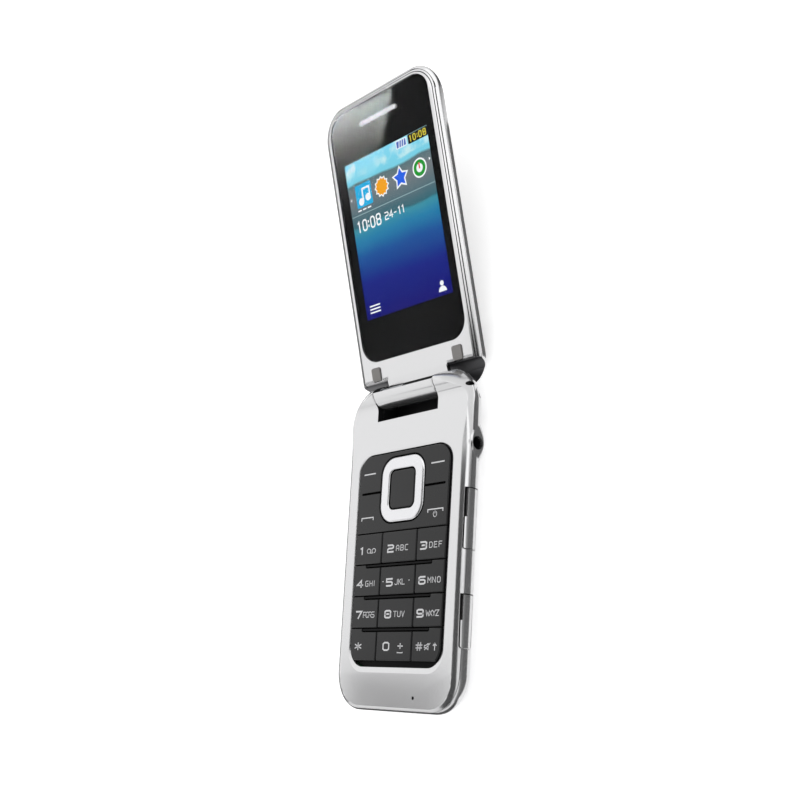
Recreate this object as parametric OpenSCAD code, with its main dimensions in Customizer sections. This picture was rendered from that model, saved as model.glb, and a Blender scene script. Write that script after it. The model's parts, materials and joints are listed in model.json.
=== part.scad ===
// Clamshell mobile phone: a keypad half and a display half on one hinge.
// The phone lies on its back with the lid open on its stop. X is its width, Y runs along the
// keypad half towards the hinge, Z comes out of the keypad. The origin is the centre of the
// keypad half's back face. The lid is modelled in its own axes, with the hinge axis at the
// origin, +Y towards the lid's free end and +Z out of the display, and then turned into place.

/* [Keypad half] */
// Width of the keypad half
base_w = 50; // [49:0.5:54]
// Width lost along each side between the hinge end and the free end
base_taper = 0.6; // [0:0.1:1]
// Hinge axis to the free end
base_reach = 90.6; // [90:0.5:98]
// Hinge axis to the end of the shoulders
base_tail = 2.8; // [2.6:0.1:3]
// Thickness from the back to the keypad face
base_t = 10; // [10:0.1:11]
// Corner radius at the free end, in plan
base_corner = 9.5; // [8:0.5:11]
// Corner radius at the hinge end, in plan
shoulder_corner = 11; // [9:0.5:12]
// Wall of all four case shells
wall = 1.2; // [1:0.1:1.4]
// Height of the round back edge along the sides
back_round_h = 7.3; // [6:0.1:7.6]
// Depth of that round edge across the back
back_round_w = 14; // [10:0.5:15]
// Tilt of the parting line between front and rear shell
seam_tilt = 0.8; // [0:0.1:1]

/* [Hinge] */
// Hinge axis below the keypad face
hinge_drop = 1.73; // [1.6:0.01:1.9]
// Radius of the hinge barrel and of the shoulders beside it
barrel_r = 4.85; // [4.5:0.05:5]
// Length of the hinge barrel
barrel_len = 24.8; // [22:0.2:26]
// Angle by which the open lid leans forward from flat
open_lean = 16.25; // [10:0.25:20]
// Radius of the hinge pin
pin_r = 1.2; // [1:0.05:1.25]
// Radial running clearance of the hinge pin
pin_clear = 0.05; // [0.03:0.01:0.08]
// Lean of the shoulders' end face
shoulder_lean = 24.5; // [22:0.5:26]
// Side gap between the barrel and the shoulders
barrel_gap = 0.2; // [0.15:0.05:0.4]
// Length of the hinge well ahead of the axis
well_reach = 9.1; // [8.8:0.1:10]

/* [Display half] */
// How far each side of the lid stands in from the keypad half's
lid_side_in = 0; // [0:0.1:0.5]
// Hinge axis to the lid's free end
lid_reach = 90.9; // [90:0.5:98]
// Lid beyond the hinge axis
lid_tail = 3.2; // [2.8:0.1:3.2]
// Thickness of the lid
lid_t = 6.4; // [6.2:0.1:7]
// Gap between the two faces when closed
closed_gap = 0.8; // [0.7:0.05:1]
// Corner radius of the lid, in plan
lid_corner = 9.5; // [8:0.5:11]
// Depth of the lid's round outer edge across its back
lid_round_w = 7.4; // [6:0.2:9]
// Outer shell's rim around the inner shell
lid_rim = 1.75; // [1.5:0.05:2.2]

/* [Display] */
// Width of the display's picture
screen_w = 36.72; // [34:0.01:38]
// Height of the display's picture
screen_h = 48.96; // [46:0.01:50]
// Hinge axis to the centre of the picture
screen_y = 48.2; // [47:0.1:52]
// Side of the lid to the black window over the display
glass_side = 3.2; // [2.6:0.1:4]
// Length of the black window
glass_h = 78; // [74:0.5:79]
// Centre of the window above the centre of the picture
glass_up = 1.25; // [0.5:0.05:2]
// Corner radius of the window
glass_corner = 6; // [4:0.5:8]
// Thickness of the window
glass_t = 0.8; // [0.6:0.1:1]
// Length of the earpiece slot
ear_w = 16.2; // [14:0.2:18]

/* [Keypad] */
// Width of the keypad at its hinge end
keypad_w = 38.2; // [37:0.1:39]
// Width lost between the hinge end and the free end of the keypad
keypad_taper = 1.4; // [0:0.1:2]
// Hinge axis to the nearer end of the keypad
keypad_top = 18.9; // [18:0.1:21]
// Length of the navigation block
nav_block_h = 23.3; // [22:0.1:25]
// Free end of the phone to the keypad
chin_len = 11.4; // [10:0.1:13]
// Depth of the plain strip below the last row
foot_strip = 1.6; // [1:0.1:2]
// Width of the middle column of number keys
col_w = 14.2; // [13:0.1:15]
// Corner radius of the keypad
keypad_corner = 5.5; // [4:0.5:7]
// Length of the thin ribs between the number rows
rib_len = 26.4; // [20:0.1:28]
// Thickness of those ribs
rib_t = 0.45; // [0.35:0.05:0.6]
// Gap round each key
key_gap = 0.25; // [0.2:0.05:0.35]
// Keys stand proud of the face
key_proud = 0.25; // [0.1:0.05:0.4]
// Thickness of a key cap
key_t = 1.4; // [1.2:0.1:1.5]
// Travel of a key
key_travel = 0.35; // [0.25:0.05:0.4]
// Outer width of the navigation ring
ring_w = 17.5; // [16:0.1:18]
// Outer length of the navigation ring
ring_h = 18.6; // [17:0.1:20]
// Width of the select key
select_w = 9.9; // [9:0.1:11]
// Length of the select key
select_h = 10.9; // [10:0.1:12]
// Navigation block's upper edge to the centre of the ring
ring_down = 11.4; // [11:0.1:12]

/* [Side fittings] */
// Radius of the headset socket
jack_r = 1.8; // [1.75:0.05:1.85]
// Hinge axis to the headset socket
jack_back = 20; // [19:0.1:22]
// Height of the headset socket above the back
jack_z = 6.6; // [6:0.1:6.8]
// Length of the connector cover
usb_cover_len = 16; // [14:0.5:18]
// Hinge axis to the centre of the connector cover
usb_back = 40.6; // [40:0.1:44]
// Length of the card cover
card_cover_len = 13.4; // [12:0.2:16]
// Hinge axis to the centre of the card cover
card_back = 67.2; // [66:0.1:70]
// Clearance round covers and side keys
cover_gap = 0.15; // [0.1:0.05:0.25]
// Length of the volume key
volume_len = 15; // [13:0.5:17]
// Travel of the volume key
volume_travel = 0.4; // [0.3:0.05:0.5]

/* [Loudspeaker] */
// Width of the loudspeaker's grille
grille_w = 15; // [13:0.5:18]
// Hinge axis to the middle of the grille
grille_back = 15.5; // [15:0.1:17]

/* [Battery] */
// Battery width
battery_w = 34; // [32:0.5:35]
// Battery length
battery_len = 46; // [40:0.5:48]
// Battery thickness
battery_t = 3.9; // [3.5:0.1:4]
// Free end of the phone to the battery
battery_start = 6.5; // [6:0.5:8]

/* [Hidden] */
$fn = 48;
big = 200;
eps = 0.01;

// Keypad half
base_len = base_reach + base_tail;
hinge_y = base_len / 2 - base_tail;
hinge_z = base_t - hinge_drop;
free_y = -base_len / 2;
half_w = base_w / 2;
edge_w = 2.7;              // round edge of the keypad face, across the face
edge_h = 2.2;              // and down the side
end_round_w = 10;          // round back edge at both ends
end_round_h = 7;
floor_t = 1;               // back wall
face_t = 1.2;              // keypad wall
dome_fillet = 3;           // hollow between the face and the shoulders
seam_z = base_t - 1.6;     // parting line at the middle of the phone
well_half = barrel_len / 2 + barrel_gap;
well_y = hinge_y - well_reach;
well_floor = 1.5;            // shell under the well
lining_t = 0.75;             // black lining over it
well_end = hinge_y - 2.2;  // the well's floor stops short of the lid's tail
cavity_end = well_y - 1.2;
fit = 0.1;                 // clearance between parts that sit in each other

// Lid, in its own axes
lid_face = -(hinge_drop + closed_gap);
lid_back = lid_face - lid_t;
lid_w = base_w - 2 * lid_side_in;
lid_half = lid_w / 2;
glass_w = lid_w - 2 * glass_side;
lid_edge_w = 2.5;
lid_edge_h = 1.3;
lid_round_h = lid_t - lid_edge_h;
lid_skin = 1.1;
plate_t = 1.1;
scoop_r = barrel_r + 0.35;
scoop_floor = lid_back + 2.08;

// Keypad
key_top = base_t + key_proud;
key_low = key_top - key_t;
mat_top = key_low - key_travel - 0.1;
mat_low = mat_top - 0.9;
board_top = mat_low - 0.2;
board_t = 0.8;
kp_top = hinge_y - keypad_top;
rows_top = kp_top - nav_block_h;
kp_low = free_y + chin_len;
row_pitch = (rows_top - kp_low - foot_strip) / 4;
ring_y = kp_top - ring_down;

// Side fittings
jack_y = hinge_y - jack_back;
jack_len = 14;
usb_y = hinge_y - usb_back;
card_y = hinge_y - card_back;
cover_inner = half_w - 1.1;
pivot_r = 0.55;
pivot_x = cover_inner + pivot_r;
cover_low = 5;
cover_high = base_t - 0.75;
cover_step = 0.5;

// Battery
battery_y = free_y + battery_start + battery_len / 2;
battery_low = floor_t + 0.25;
battery_high = battery_low + battery_t;
bay_wall = 0.3;
bay_w = battery_w + 0.8;
bay_len = battery_len + 3;
panel_half = half_w - 4.6;
panel_high = 2.6;
panel_end = battery_y + bay_len / 2 + 3;

silver = "#c9cacc";
dark = "#2c2d30";

// ---------- outlines and lofts ----------

// Points of an arc about c, from angle a to angle b, in n steps
function arc(c, r, a, b, n) =
    [for (i = [0 : n]) c + r * [cos(a + (b - a) * i / n), sin(a + (b - a) * i / n)]];

// Rounded outline from y0 to y1: half widths w0, w1 and corner radii r0, r1 at the two ends
function outline(w0, w1, y0, y1, r0, r1, n = 9) = concat(
    arc([w0 - r0, y0 + r0], r0, -90, 0, n), arc([w1 - r1, y1 - r1], r1, 0, 90, n),
    arc([r1 - w1, y1 - r1], r1, 90, 180, n), arc([r0 - w0, y0 + r0], r0, 180, 270, n));

// Solid through a list of levels, each [z, outline], all outlines with as many points
module loft(levels) {
    n = len(levels[0][1]);
    m = len(levels);
    points = [for (l = levels) for (p = l[1]) [p[0], p[1], l[0]]];
    sides = [for (k = [0 : m - 2]) for (i = [0 : n - 1])
        [k * n + i, (k + 1) * n + i, (k + 1) * n + (i + 1) % n, k * n + (i + 1) % n]];
    polyhedron(points, concat([[for (i = [0 : n - 1]) i]], sides,
        [[for (i = [n - 1 : -1 : 0]) (m - 1) * n + i]]), convexity = 6);
}

// Plate with a rounded outline, centred on x = 0
module plate(w, y0, y1, r, z0, z1) {
    translate([0, 0, z0]) linear_extrude(z1 - z0) polygon(outline(w / 2, w / 2, y0, y1, r, r, 6));
}

// Box between two corners
module box(a, b) {
    translate(a) cube(b - a);
}

// Cylinder along X between x0 and x1
module rod(x0, x1, y, z, r) {
    translate([x0, y, z]) rotate([0, 90, 0]) cylinder(h = x1 - x0, r = r);
}

// Quarter ellipse: how far in the surface is, t above the start of a round of height h, width w
function inset(t, h, w) = t <= 0 ? 0 : w * (1 - sqrt(max(0, 1 - pow(min(t / h, 1), 2))));

// ---------- keypad half, outer form ----------

function side_in(z) = z < back_round_h ? inset(back_round_h - z, back_round_h, back_round_w)
    : inset(z - base_t + edge_h, edge_h, edge_w);
function free_in(z) = z < back_round_h ? inset(back_round_h - z, back_round_h, end_round_w)
    : inset(z - base_t + edge_h, edge_h, edge_w);
function end_y(z) = hinge_y + base_tail
    - (z < end_round_h ? inset(end_round_h - z, end_round_h, end_round_w)
    : (z - end_round_h) * tan(shoulder_lean));

// Outline of the keypad half at height z, moved in by d
function base_outline(z, d = 0) = outline(half_w - base_taper - side_in(z) - d,
    half_w - side_in(z) - d, free_y + free_in(z) + d, end_y(z) - d,
    max(base_corner - d, 2), max(shoulder_corner - d, 2));

back_levels = [for (a = [0 : 12.857 : 80]) back_round_h * (1 - cos(a))];
edge_levels = [for (a = [0 : 18 : 90.1]) base_t - edge_h + edge_h * sin(min(a, 90))];

// Reach of the shoulders ahead of the hinge axis at height z
fillet_y = sqrt(pow(barrel_r + dome_fillet, 2) - pow(hinge_drop + dome_fillet, 2));
fillet_z = hinge_z + barrel_r * (hinge_drop + dome_fillet) / (barrel_r + dome_fillet);
function dome_reach(z) = z < fillet_z
    ? fillet_y - sqrt(pow(dome_fillet, 2) - pow(min(base_t + dome_fillet - z, dome_fillet), 2))
    : sqrt(max(pow(barrel_r, 2) - pow(z - hinge_z, 2), 0.0004));
dome_top = hinge_z + barrel_r;
function dome_in(z) = edge_w * 0.75 + inset(z - base_t, dome_top - base_t + 0.05, 9);
// Largest corner radius that the shoulders' depth allows at height z
function dome_corner(z) = (end_y(z) - hinge_y + dome_reach(z)) / 2.2 + 0.01;

module base_solid() {
    loft([for (z = concat(back_levels, [back_round_h], edge_levels)) [z, base_outline(z)]]);
    loft([for (z = [base_t - 0.6, base_t, base_t + 0.1, base_t + 0.25, base_t + 0.5,
        fillet_z, for (a = [40 : 10 : 80]) hinge_z + barrel_r * sin(a), dome_top - 0.01])
        [z, outline(half_w - dome_in(z), half_w - dome_in(z), hinge_y - dome_reach(z),
            max(end_y(z), hinge_y - dome_reach(z) + 0.06), min(1.5, dome_corner(z)),
            min(max(shoulder_corner - dome_in(z) * 0.8, 3), dome_corner(z)))]]);
}

// Seat of the black lining in the shells
module lining_seat() {
    box([-well_half - 0.05, cavity_end - 0.5, floor_t + 0.1],
        [well_half + 0.05, well_y + 0.1, base_t - face_t]);
}

// Hollow for the barrel between the shoulders, open at the front and at the hinge end
module well_cut() {
    box([-well_half, well_y, well_floor], [well_half, hinge_y + 20, base_t + 20]);
    box([-well_half, well_end, -5], [well_half, hinge_y + 20, base_t + 20]);
}

// Half space above the parting line, moved by d
module above_seam(d = 0) {
    translate([0, 0, seam_z + d]) rotate([-seam_tilt, 0, 0])
        translate([-big / 2, -big / 2, 0]) cube([big, big, big]);
}

module base_cavity() {
    loft([for (z = [floor_t, 2, 3, 4.5, 6, back_round_h, base_t - face_t])
        [z, outline(half_w - base_taper - side_in(z) - wall, half_w - side_in(z) - wall,
            free_y + free_in(z) + wall, cavity_end, base_corner - wall, 2, 4)]]);
}

// Pocket of a cover in the side wall, with its round pivot
module side_pocket(y0, y1, z0, z1) {
    translate([cover_inner - cover_gap, y0, z0])
        cube([half_w + 5 - cover_inner + cover_gap, y1 - y0, z1 - z0]);
}
module cover_pocket(y, len) {
    side_pocket(y - len / 2 + pivot_r, y + len / 2 + cover_gap, cover_low - cover_gap,
        cover_high + cover_gap);
    translate([pivot_x, y - len / 2 + pivot_r, cover_low - cover_gap])
        cylinder(h = cover_high - cover_low + 2 * cover_gap, r = pivot_r + cover_gap);
    translate([pivot_x, y - len / 2 - cover_gap, cover_low - cover_gap])
        cube([5, pivot_r + cover_gap, cover_high - cover_low + 2 * cover_gap]);
}
module cover(y, len) {
    intersection() {
        base_solid();
        union() {
            difference() {
                box([cover_inner, y - len / 2 + pivot_r, cover_low],
                    [half_w + 2, y + len / 2, cover_high]);
                box([cover_inner - 1, y + len * 0.02, cover_high - cover_step],
                    [half_w + 3, y + len, cover_high + 1]);
            }
            translate([pivot_x, y - len / 2 + pivot_r, cover_low])
                cylinder(h = cover_high - cover_low, r = pivot_r);
        }
    }
}

// Openings through the side walls behind the covers, the headset socket and the strap
usb_w = 7.5;
usb_hgt = 2.5;
usb_len = 5.6;
slot_w = 11.6;
slot_hgt = 1.2;
slot_z = board_top - board_t - 0.05 - slot_hgt;
usb_z = board_top - board_t / 2 - usb_hgt / 2;
jack_body = 2.6;
module side_holes() {
    box([half_w - 4, usb_y - usb_w / 2 - fit, usb_z - fit],
        [half_w + 1, usb_y + usb_w / 2 + fit, usb_z + usb_hgt + fit]);
    box([half_w - 4, card_y - slot_w / 2 - fit, slot_z - fit],
        [half_w + 1, card_y + slot_w / 2 + fit, slot_z + slot_hgt + fit]);
    rod(half_w - jack_len - 1, half_w + 3, jack_y, jack_z, jack_body + fit);
    strap_tunnel();
}
strap_r = 1.1;
module strap_tunnel() {
    translate([half_w - 4.8, hinge_y - 1.8, 5]) rotate([0, 0, 45])
        rotate([90, 0, 0]) cylinder(h = 30, r = strap_r, center = true);
}

// Headset socket's collar stands out of the round side wall
module jack_boss() {
    rod(half_w - 5, half_w + 0.25, jack_y, jack_z, jack_body + 0.9);
}

volume_y = hinge_y - 37;
volume_h = 2.2;
volume_z = 6.3;
volume_in = -half_w + wall + 0.85;

module keypad_outline(d, z0, z1) {
    translate([0, 0, z0]) linear_extrude(z1 - z0)
        polygon(outline((keypad_w - keypad_taper) / 2 - d, keypad_w / 2 - d, kp_low + d, kp_top - d,
            keypad_corner - d, keypad_corner - d, 8));
}

mic_x = 8.1;
mic_y = free_y + 3.8;
module mic_hole() {
    translate([mic_x, mic_y, base_t - 3]) cylinder(h = 5, r = 0.45);
}

// ---------- keypad half ----------

module base_front_shell() {
    color(silver) difference() {
        intersection() {
            union() {
                base_solid();
                jack_boss();
            }
            above_seam();
        }
        base_cavity();
        well_cut();
        keypad_outline(0, base_t - 4, base_t + 3);
        mic_hole();
        side_holes();
        cover_pocket(usb_y, usb_cover_len);
        cover_pocket(card_y, card_cover_len);
        bearing_seats();
        screw_holes();
        lining_seat();
    }
}

module base_rear_shell() {
    color(silver) difference() {
        union() {
            base_solid();
            jack_boss();
        }
        above_seam(-0.02);
        base_cavity();
        well_cut();
        side_holes();
        cover_pocket(usb_y, usb_cover_len);
        cover_pocket(card_y, card_cover_len);
        box([-half_w - 1, volume_y - volume_len / 2 - cover_gap, volume_z - volume_h / 2 - cover_gap],
            [volume_in + 1, volume_y + volume_len / 2 + cover_gap, volume_z + volume_h / 2 + cover_gap]);
        bearing_seats();
        screw_holes();
        lining_seat();
        keypad_outline(0, base_t - face_t - 0.5, base_t + 3);
        box([-panel_half - fit, free_y - 5, -1], [panel_half + fit, panel_end + fit, panel_high]);
        grille_seat();
    }
}

grille_y = hinge_y - grille_back;
grille_h = 5.4;
speaker_w = grille_w - 2;
speaker_h = grille_h + 3.6;
module grille_seat() {
    plate(grille_w + 0.1, grille_y - grille_h / 2 - 0.05, grille_y + grille_h / 2 + 0.05, 2, -1, floor_t + 1);
}
module speaker_grille() {
    color("dimgray") difference() {
        plate(grille_w, grille_y - grille_h / 2, grille_y + grille_h / 2, 2, 0.15, floor_t);
        for (x = [-5.4 : 1.8 : 5.4])
            plate_at(x, 0.9, grille_y - 1.7, grille_y + 1.7, 0.4, -1, 3);
    }
}
module plate_at(x, w, y0, y1, r, z0, z1) {
    translate([x, 0, 0]) plate(w, y0, y1, r, z0, z1);
}
module loudspeaker() {
    color(dark) plate(speaker_w, grille_y - speaker_h / 2, grille_y + speaker_h / 2, 3,
        floor_t + 0.05, floor_t + 3.2);
}

// Hollow of the battery cover, its lower corners sloped to follow the round back
module battery_hollow() {
    side = bay_w / 2;
    translate([0, panel_end + 1, 0]) rotate([90, 0, 0])
        linear_extrude(panel_end + 1 - free_y - wall - 4)
            polygon([[0.6 - side, floor_t], [side - 0.6, floor_t], [side, floor_t + 0.3],
                [side, panel_high + 1], [-side, panel_high + 1], [-side, floor_t + 0.3]]);
}
module battery_cover() {
    color(silver) difference() {
        intersection() {
            base_solid();
            box([-panel_half, free_y - 5, -1], [panel_half, panel_end, panel_high - fit]);
        }
        battery_hollow();
    }
}

// Black inner frame: floor of the battery bay's upper side, rim under the face and the well's lining
frame_low = battery_high + 0.15;
frame_half = half_w - usb_len - 0.8;    // the frame reaches just under the connector
lining_wall = 1.05;
module base_chassis() {
    color("#1a1a1b") {
        difference() {
            union() {
                box([-frame_half, battery_y - bay_len / 2, frame_low],
                    [frame_half, cavity_end - 0.05, frame_low + bay_wall]);
                box([-well_half + 0.5, cavity_end - 0.5, frame_low],
                    [well_half - 0.5, well_y - 0.5, frame_low + bay_wall]);
                box([-well_half, well_y - lining_wall, well_floor + 0.05],
                    [well_half, well_y, base_t - face_t - 0.05]);
                box([-well_half + 0.05, well_y - 0.5, well_floor + 0.05],
                    [well_half - 0.05, well_end - 0.1, well_floor + lining_t]);
            }
            box([-speaker_w / 2 - 1.5, grille_y - speaker_h / 2 - 1.5, 0],
                [speaker_w / 2 + 1.5, grille_y + speaker_h / 2 + 1.5, 9]);
            box([half_w - jack_len - 1, jack_y - jack_body - 0.4, 0], [half_w, jack_y + jack_body + 0.4, 9]);
            box([can_x[0] - fit, can_y[0] - fit, 0], [can_x[3] + fit, can_y[1] + fit, 9]);
            box([half_w - slot_in - fit, card_y - slot_w / 2 - fit, 0],
                [half_w, card_y + slot_w / 2 + fit, 9]);
        }
    }
}
motor_x = -12.3;
motor_y = hinge_y - 16;

module board_outline(z0, z1) {
    plate(2 * (half_w - wall) - 1.6, free_y + 4, cavity_end - 0.5, 8, z0, z1);
}
module main_board() {
    color("#1f5c38") difference() {
        board_outline(board_top - board_t, board_top);
        box([half_w - usb_len - 1.2, usb_y - usb_w / 2 - 0.15, 0], [half_w, usb_y + usb_w / 2 + 0.15, 12]);
        box([half_w - jack_len - 1, jack_y - jack_body - 0.2, 0], [half_w, jack_y + jack_body + 0.2, 12]);
        box([-half_w, volume_y - volume_len / 2 - 1, 0], [-half_w + 3.4, volume_y + volume_len / 2 + 1, 12]);
        box([-speaker_w / 2 - 0.5, grille_y - speaker_h / 2 - 0.5, 0],
            [speaker_w / 2 + 0.5, grille_y + speaker_h / 2 + 0.5, board_top - board_t - 0.01]);
        box([half_w - 3, usb_y - usb_cover_len / 2 - 1, 0], [half_w, usb_y + usb_cover_len / 2 + 1, 12]);
        box([half_w - 3, card_y - card_cover_len / 2 - 1, 0], [half_w, card_y + card_cover_len / 2 + 1, 12]);
    }
}
module dome_sheet() {
    color("#d8d3b8") {
        difference() {
            keypad_outline(1.2, board_top, board_top + 0.15);
            jack_room(fit);
        }
    }
}
module key_mat() {
    color("#151516") difference() {
        union() {
            keypad_outline(0.15, mat_low, mat_top);
            for (r = [1 : 3]) plate(rib_len, rows_top - r * row_pitch - key_gap - rib_t,
                rows_top - r * row_pitch - key_gap, rib_t / 2 - eps, mat_top - 0.5, key_top - 0.1);
        }
        jack_room(fit);
        box([half_w - usb_len - 1.2, usb_y - usb_w / 2 - fit, 0],
            [half_w, usb_y + usb_w / 2 + fit, usb_z + usb_hgt + fit]);
    }
}
can_x = [-15, -2.5, -1, half_w - jack_len - 0.5];
can_y = [panel_end - 2, panel_end + 6];
module shield_cans() {
    color("#b9bcc0") {
        box([can_x[0], can_y[0], frame_low], [can_x[1], can_y[1], board_top - board_t]);
        box([can_x[2], can_y[0], frame_low], [can_x[3], can_y[1], board_top - board_t]);
    }
}
module battery() {
    color("#2f6fae") plate(battery_w, battery_y - battery_len / 2, battery_y + battery_len / 2, 1.5,
        battery_low, battery_high);
}
module battery_contacts() {
    color("gold") for (i = [-1 : 1])
        box([i * 2.5 - 0.6, battery_y + battery_len / 2 + 0.05, battery_low + 1],
            [i * 2.5 + 0.6, battery_y + battery_len / 2 + 1.3, frame_low]);
}
sim_w = 15;                // a SIM card's own size
sim_len = 25;
sim_x = -13;
sim_y = battery_y - 8;
module sim_holder() {
    color("#c5c7c9") box([sim_x, sim_y, frame_low + bay_wall],
        [sim_x + sim_w, sim_y + sim_len, frame_low + bay_wall + 0.25]);
}
slot_wall = 0.25;
slot_in = 17;              // side of the phone to the far end of the card slot
module card_slot() {
    color("#c5c7c9") difference() {
        box([half_w - slot_in, card_y - slot_w / 2, slot_z],
            [half_w - 1.6, card_y + slot_w / 2, slot_z + slot_hgt]);
        box([half_w - slot_in + 0.3, card_y - slot_w / 2 + slot_wall, slot_z + slot_wall],
            [half_w, card_y + slot_w / 2 - slot_wall, slot_z + slot_hgt - slot_wall]);
    }
}
module usb_socket() {
    color("#c5c7c9") difference() {
        box([half_w - usb_len - 1, usb_y - usb_w / 2, usb_z],
            [half_w - 1.4, usb_y + usb_w / 2, usb_z + usb_hgt]);
        box([half_w - usb_len - 0.5, usb_y - usb_w / 2 + 0.3, usb_z + 0.3],
            [half_w, usb_y + usb_w / 2 - 0.3, usb_z + usb_hgt - 0.3]);
    }
    color("#1a1a1b") box([half_w - usb_len - 0.5, usb_y - 1.9, usb_z + 0.9],
        [half_w - 2.4, usb_y + 1.9, usb_z + 1.5]);
}
// Room for the socket's body under the keys
module jack_room(d) {
    rod(half_w - jack_len - d, half_w, jack_y, jack_z, jack_body + d);
}
module audio_jack() {
    color("#101011") difference() {
        rod(half_w - jack_len, half_w + 0.1, jack_y, jack_z, jack_body);
        rod(half_w - jack_len + 1, half_w + 1, jack_y, jack_z, jack_r);
    }
}
module vibration_motor() {
    color("#b9bcc0") {
        rod(motor_x - 4, motor_x + 4, motor_y, floor_t + 2.05, 2);
        rod(motor_x + 4, motor_x + 5.5, motor_y, floor_t + 2.05, 0.5);
    }
}
module microphone() {
    color("#c5c7c9") translate([mic_x, mic_y, board_top])
        cylinder(h = base_t - face_t - board_top - 0.05, r = 1.6);
}
antenna_y = battery_y - battery_len / 2 - 2.1;
module antenna() {
    color("#c9a24a") box([-11, antenna_y, panel_high + 0.2], [9, antenna_y + 1.6, panel_high + 2.6]);
}
screw_x = 18;
screw_y = well_y + 0.1;
screw_seat = 2.7;
screw_tip = 8.8;
module case_screws() {
    color("#9a9ca0") for (s = [-1, 1]) translate([s * screw_x, screw_y, 0]) {
        translate([0, 0, screw_seat - 0.8]) cylinder(h = 0.8, r = 1.5);
        translate([0, 0, screw_seat - 0.1]) cylinder(h = screw_tip - screw_seat, r = 0.8);
    }
}
module screw_holes() {
    for (s = [-1, 1]) translate([s * screw_x, screw_y, 0]) {
        translate([0, 0, -1]) cylinder(h = screw_seat + 1, r = 1.5 + fit);
        cylinder(h = screw_tip + fit, r = 0.8 + fit / 2);
    }
}
module base_flex() {
    color("#c07a2a") box([-6, cavity_end - 3.5, board_top], [6, cavity_end - 0.5, board_top + 0.12]);
}
bearing_r = 1.75;
bearing_len = 5;
module bearing_seats() {
    for (s = [-1, 1])
        rod(s > 0 ? well_half - 1 : -well_half - bearing_len - 0.05,
            s > 0 ? well_half + bearing_len + 0.05 : -well_half + 1, hinge_y, hinge_z, bearing_r + 0.02);
}
module hinge_bearings() {
    color("#8d8f92") for (s = [-1, 1]) difference() {
        rod(s > 0 ? well_half : -well_half - bearing_len, s > 0 ? well_half + bearing_len : -well_half,
            hinge_y, hinge_z, bearing_r);
        rod(s > 0 ? well_half - 1 : -well_half - bearing_len + 0.6,
            s > 0 ? well_half + bearing_len - 0.6 : -well_half + 1, hinge_y, hinge_z, pin_r + pin_clear);
    }
}

// ---------- keys ----------

module key_cap(x0, x1, y0, y1) {
    color(dark) intersection() {
        keypad_outline(key_gap, key_low, key_top);
        box([x0 + key_gap / 2, y0 + key_gap / 2, key_low - 1],
            [x1 - key_gap / 2, y1 - key_gap / 2, key_top + 1]);
    }
}
edge = keypad_w;
function col_x(c) = c == 0 ? [-edge, -col_w / 2] : c == 1 ? [-col_w / 2, col_w / 2] : [col_w / 2, edge];
module number_key(c, r) {
    top = rows_top - r * row_pitch;
    difference() {
        key_cap(col_x(c)[0], col_x(c)[1], top - row_pitch, top);
        if (r > 0) box([-rib_len / 2 - key_gap, top - rib_t - 2.5 * key_gap, 0],
            [rib_len / 2 + key_gap, top + 1, 20]);
    }
}
module key_1() { number_key(0, 0); }
module key_2() { number_key(1, 0); }
module key_3() { number_key(2, 0); }
module key_4() { number_key(0, 1); }
module key_5() { number_key(1, 1); }
module key_6() { number_key(2, 1); }
module key_7() { number_key(0, 2); }
module key_8() { number_key(1, 2); }
module key_9() { number_key(2, 2); }
module key_star() { number_key(0, 3); }
module key_0() { number_key(1, 3); }
module key_hash() { number_key(2, 3); }

module ring_shape(w, h, r, z0, z1) {
    plate(w, ring_y - h / 2, ring_y + h / 2, r, z0, z1);
}
ring_corner = 5;
ring_gap = 0.45;
// Side key of the navigation block: s is the side, upper or lower one
module side_key(s, upper) {
    split = ring_y - 0.2;
    difference() {
        key_cap(s > 0 ? 0 : -edge, s > 0 ? edge : 0, upper ? split : rows_top, upper ? kp_top + 1 : split);
        ring_shape(ring_w + 2 * ring_gap, ring_h + 2 * ring_gap, ring_corner + ring_gap, 0, 20);
    }
}
module soft_key_left() { side_key(-1, true); }
module soft_key_right() {
    difference() {
        side_key(1, true);
        jack_room(fit + key_travel);
    }
}
module call_key() { side_key(-1, false); }
module end_key() { side_key(1, false); }
module nav_ring() {
    color("#e3e4e6") difference() {
        ring_shape(ring_w, ring_h, ring_corner, key_low, key_top + 0.25);
        ring_shape(select_w + 2 * key_gap, select_h + 2 * key_gap, 1.6 + key_gap, 0, 20);
    }
}
module select_key() {
    color(dark) ring_shape(select_w, select_h, 1.6, key_low, key_top);
}
module volume_key() {
    color(silver) {
        intersection() {
            base_solid();
            box([-half_w - 1, volume_y - volume_len / 2, volume_z - volume_h / 2],
                [volume_in, volume_y + volume_len / 2, volume_z + volume_h / 2]);
        }
        box([volume_in - 0.3, volume_y - volume_len / 2 - 0.6, volume_z + 0.1],
            [volume_in, volume_y + volume_len / 2 + 0.6, volume_z + volume_h / 2]);
    }
}
module usb_cover() { color(silver) cover(usb_y, usb_cover_len); }
module card_cover() { color(silver) cover(card_y, card_cover_len); }

// ---------- lid ----------

module place_lid() {
    translate([0, hinge_y, hinge_z]) rotate([open_lean, 0, 0]) children();
}

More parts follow.
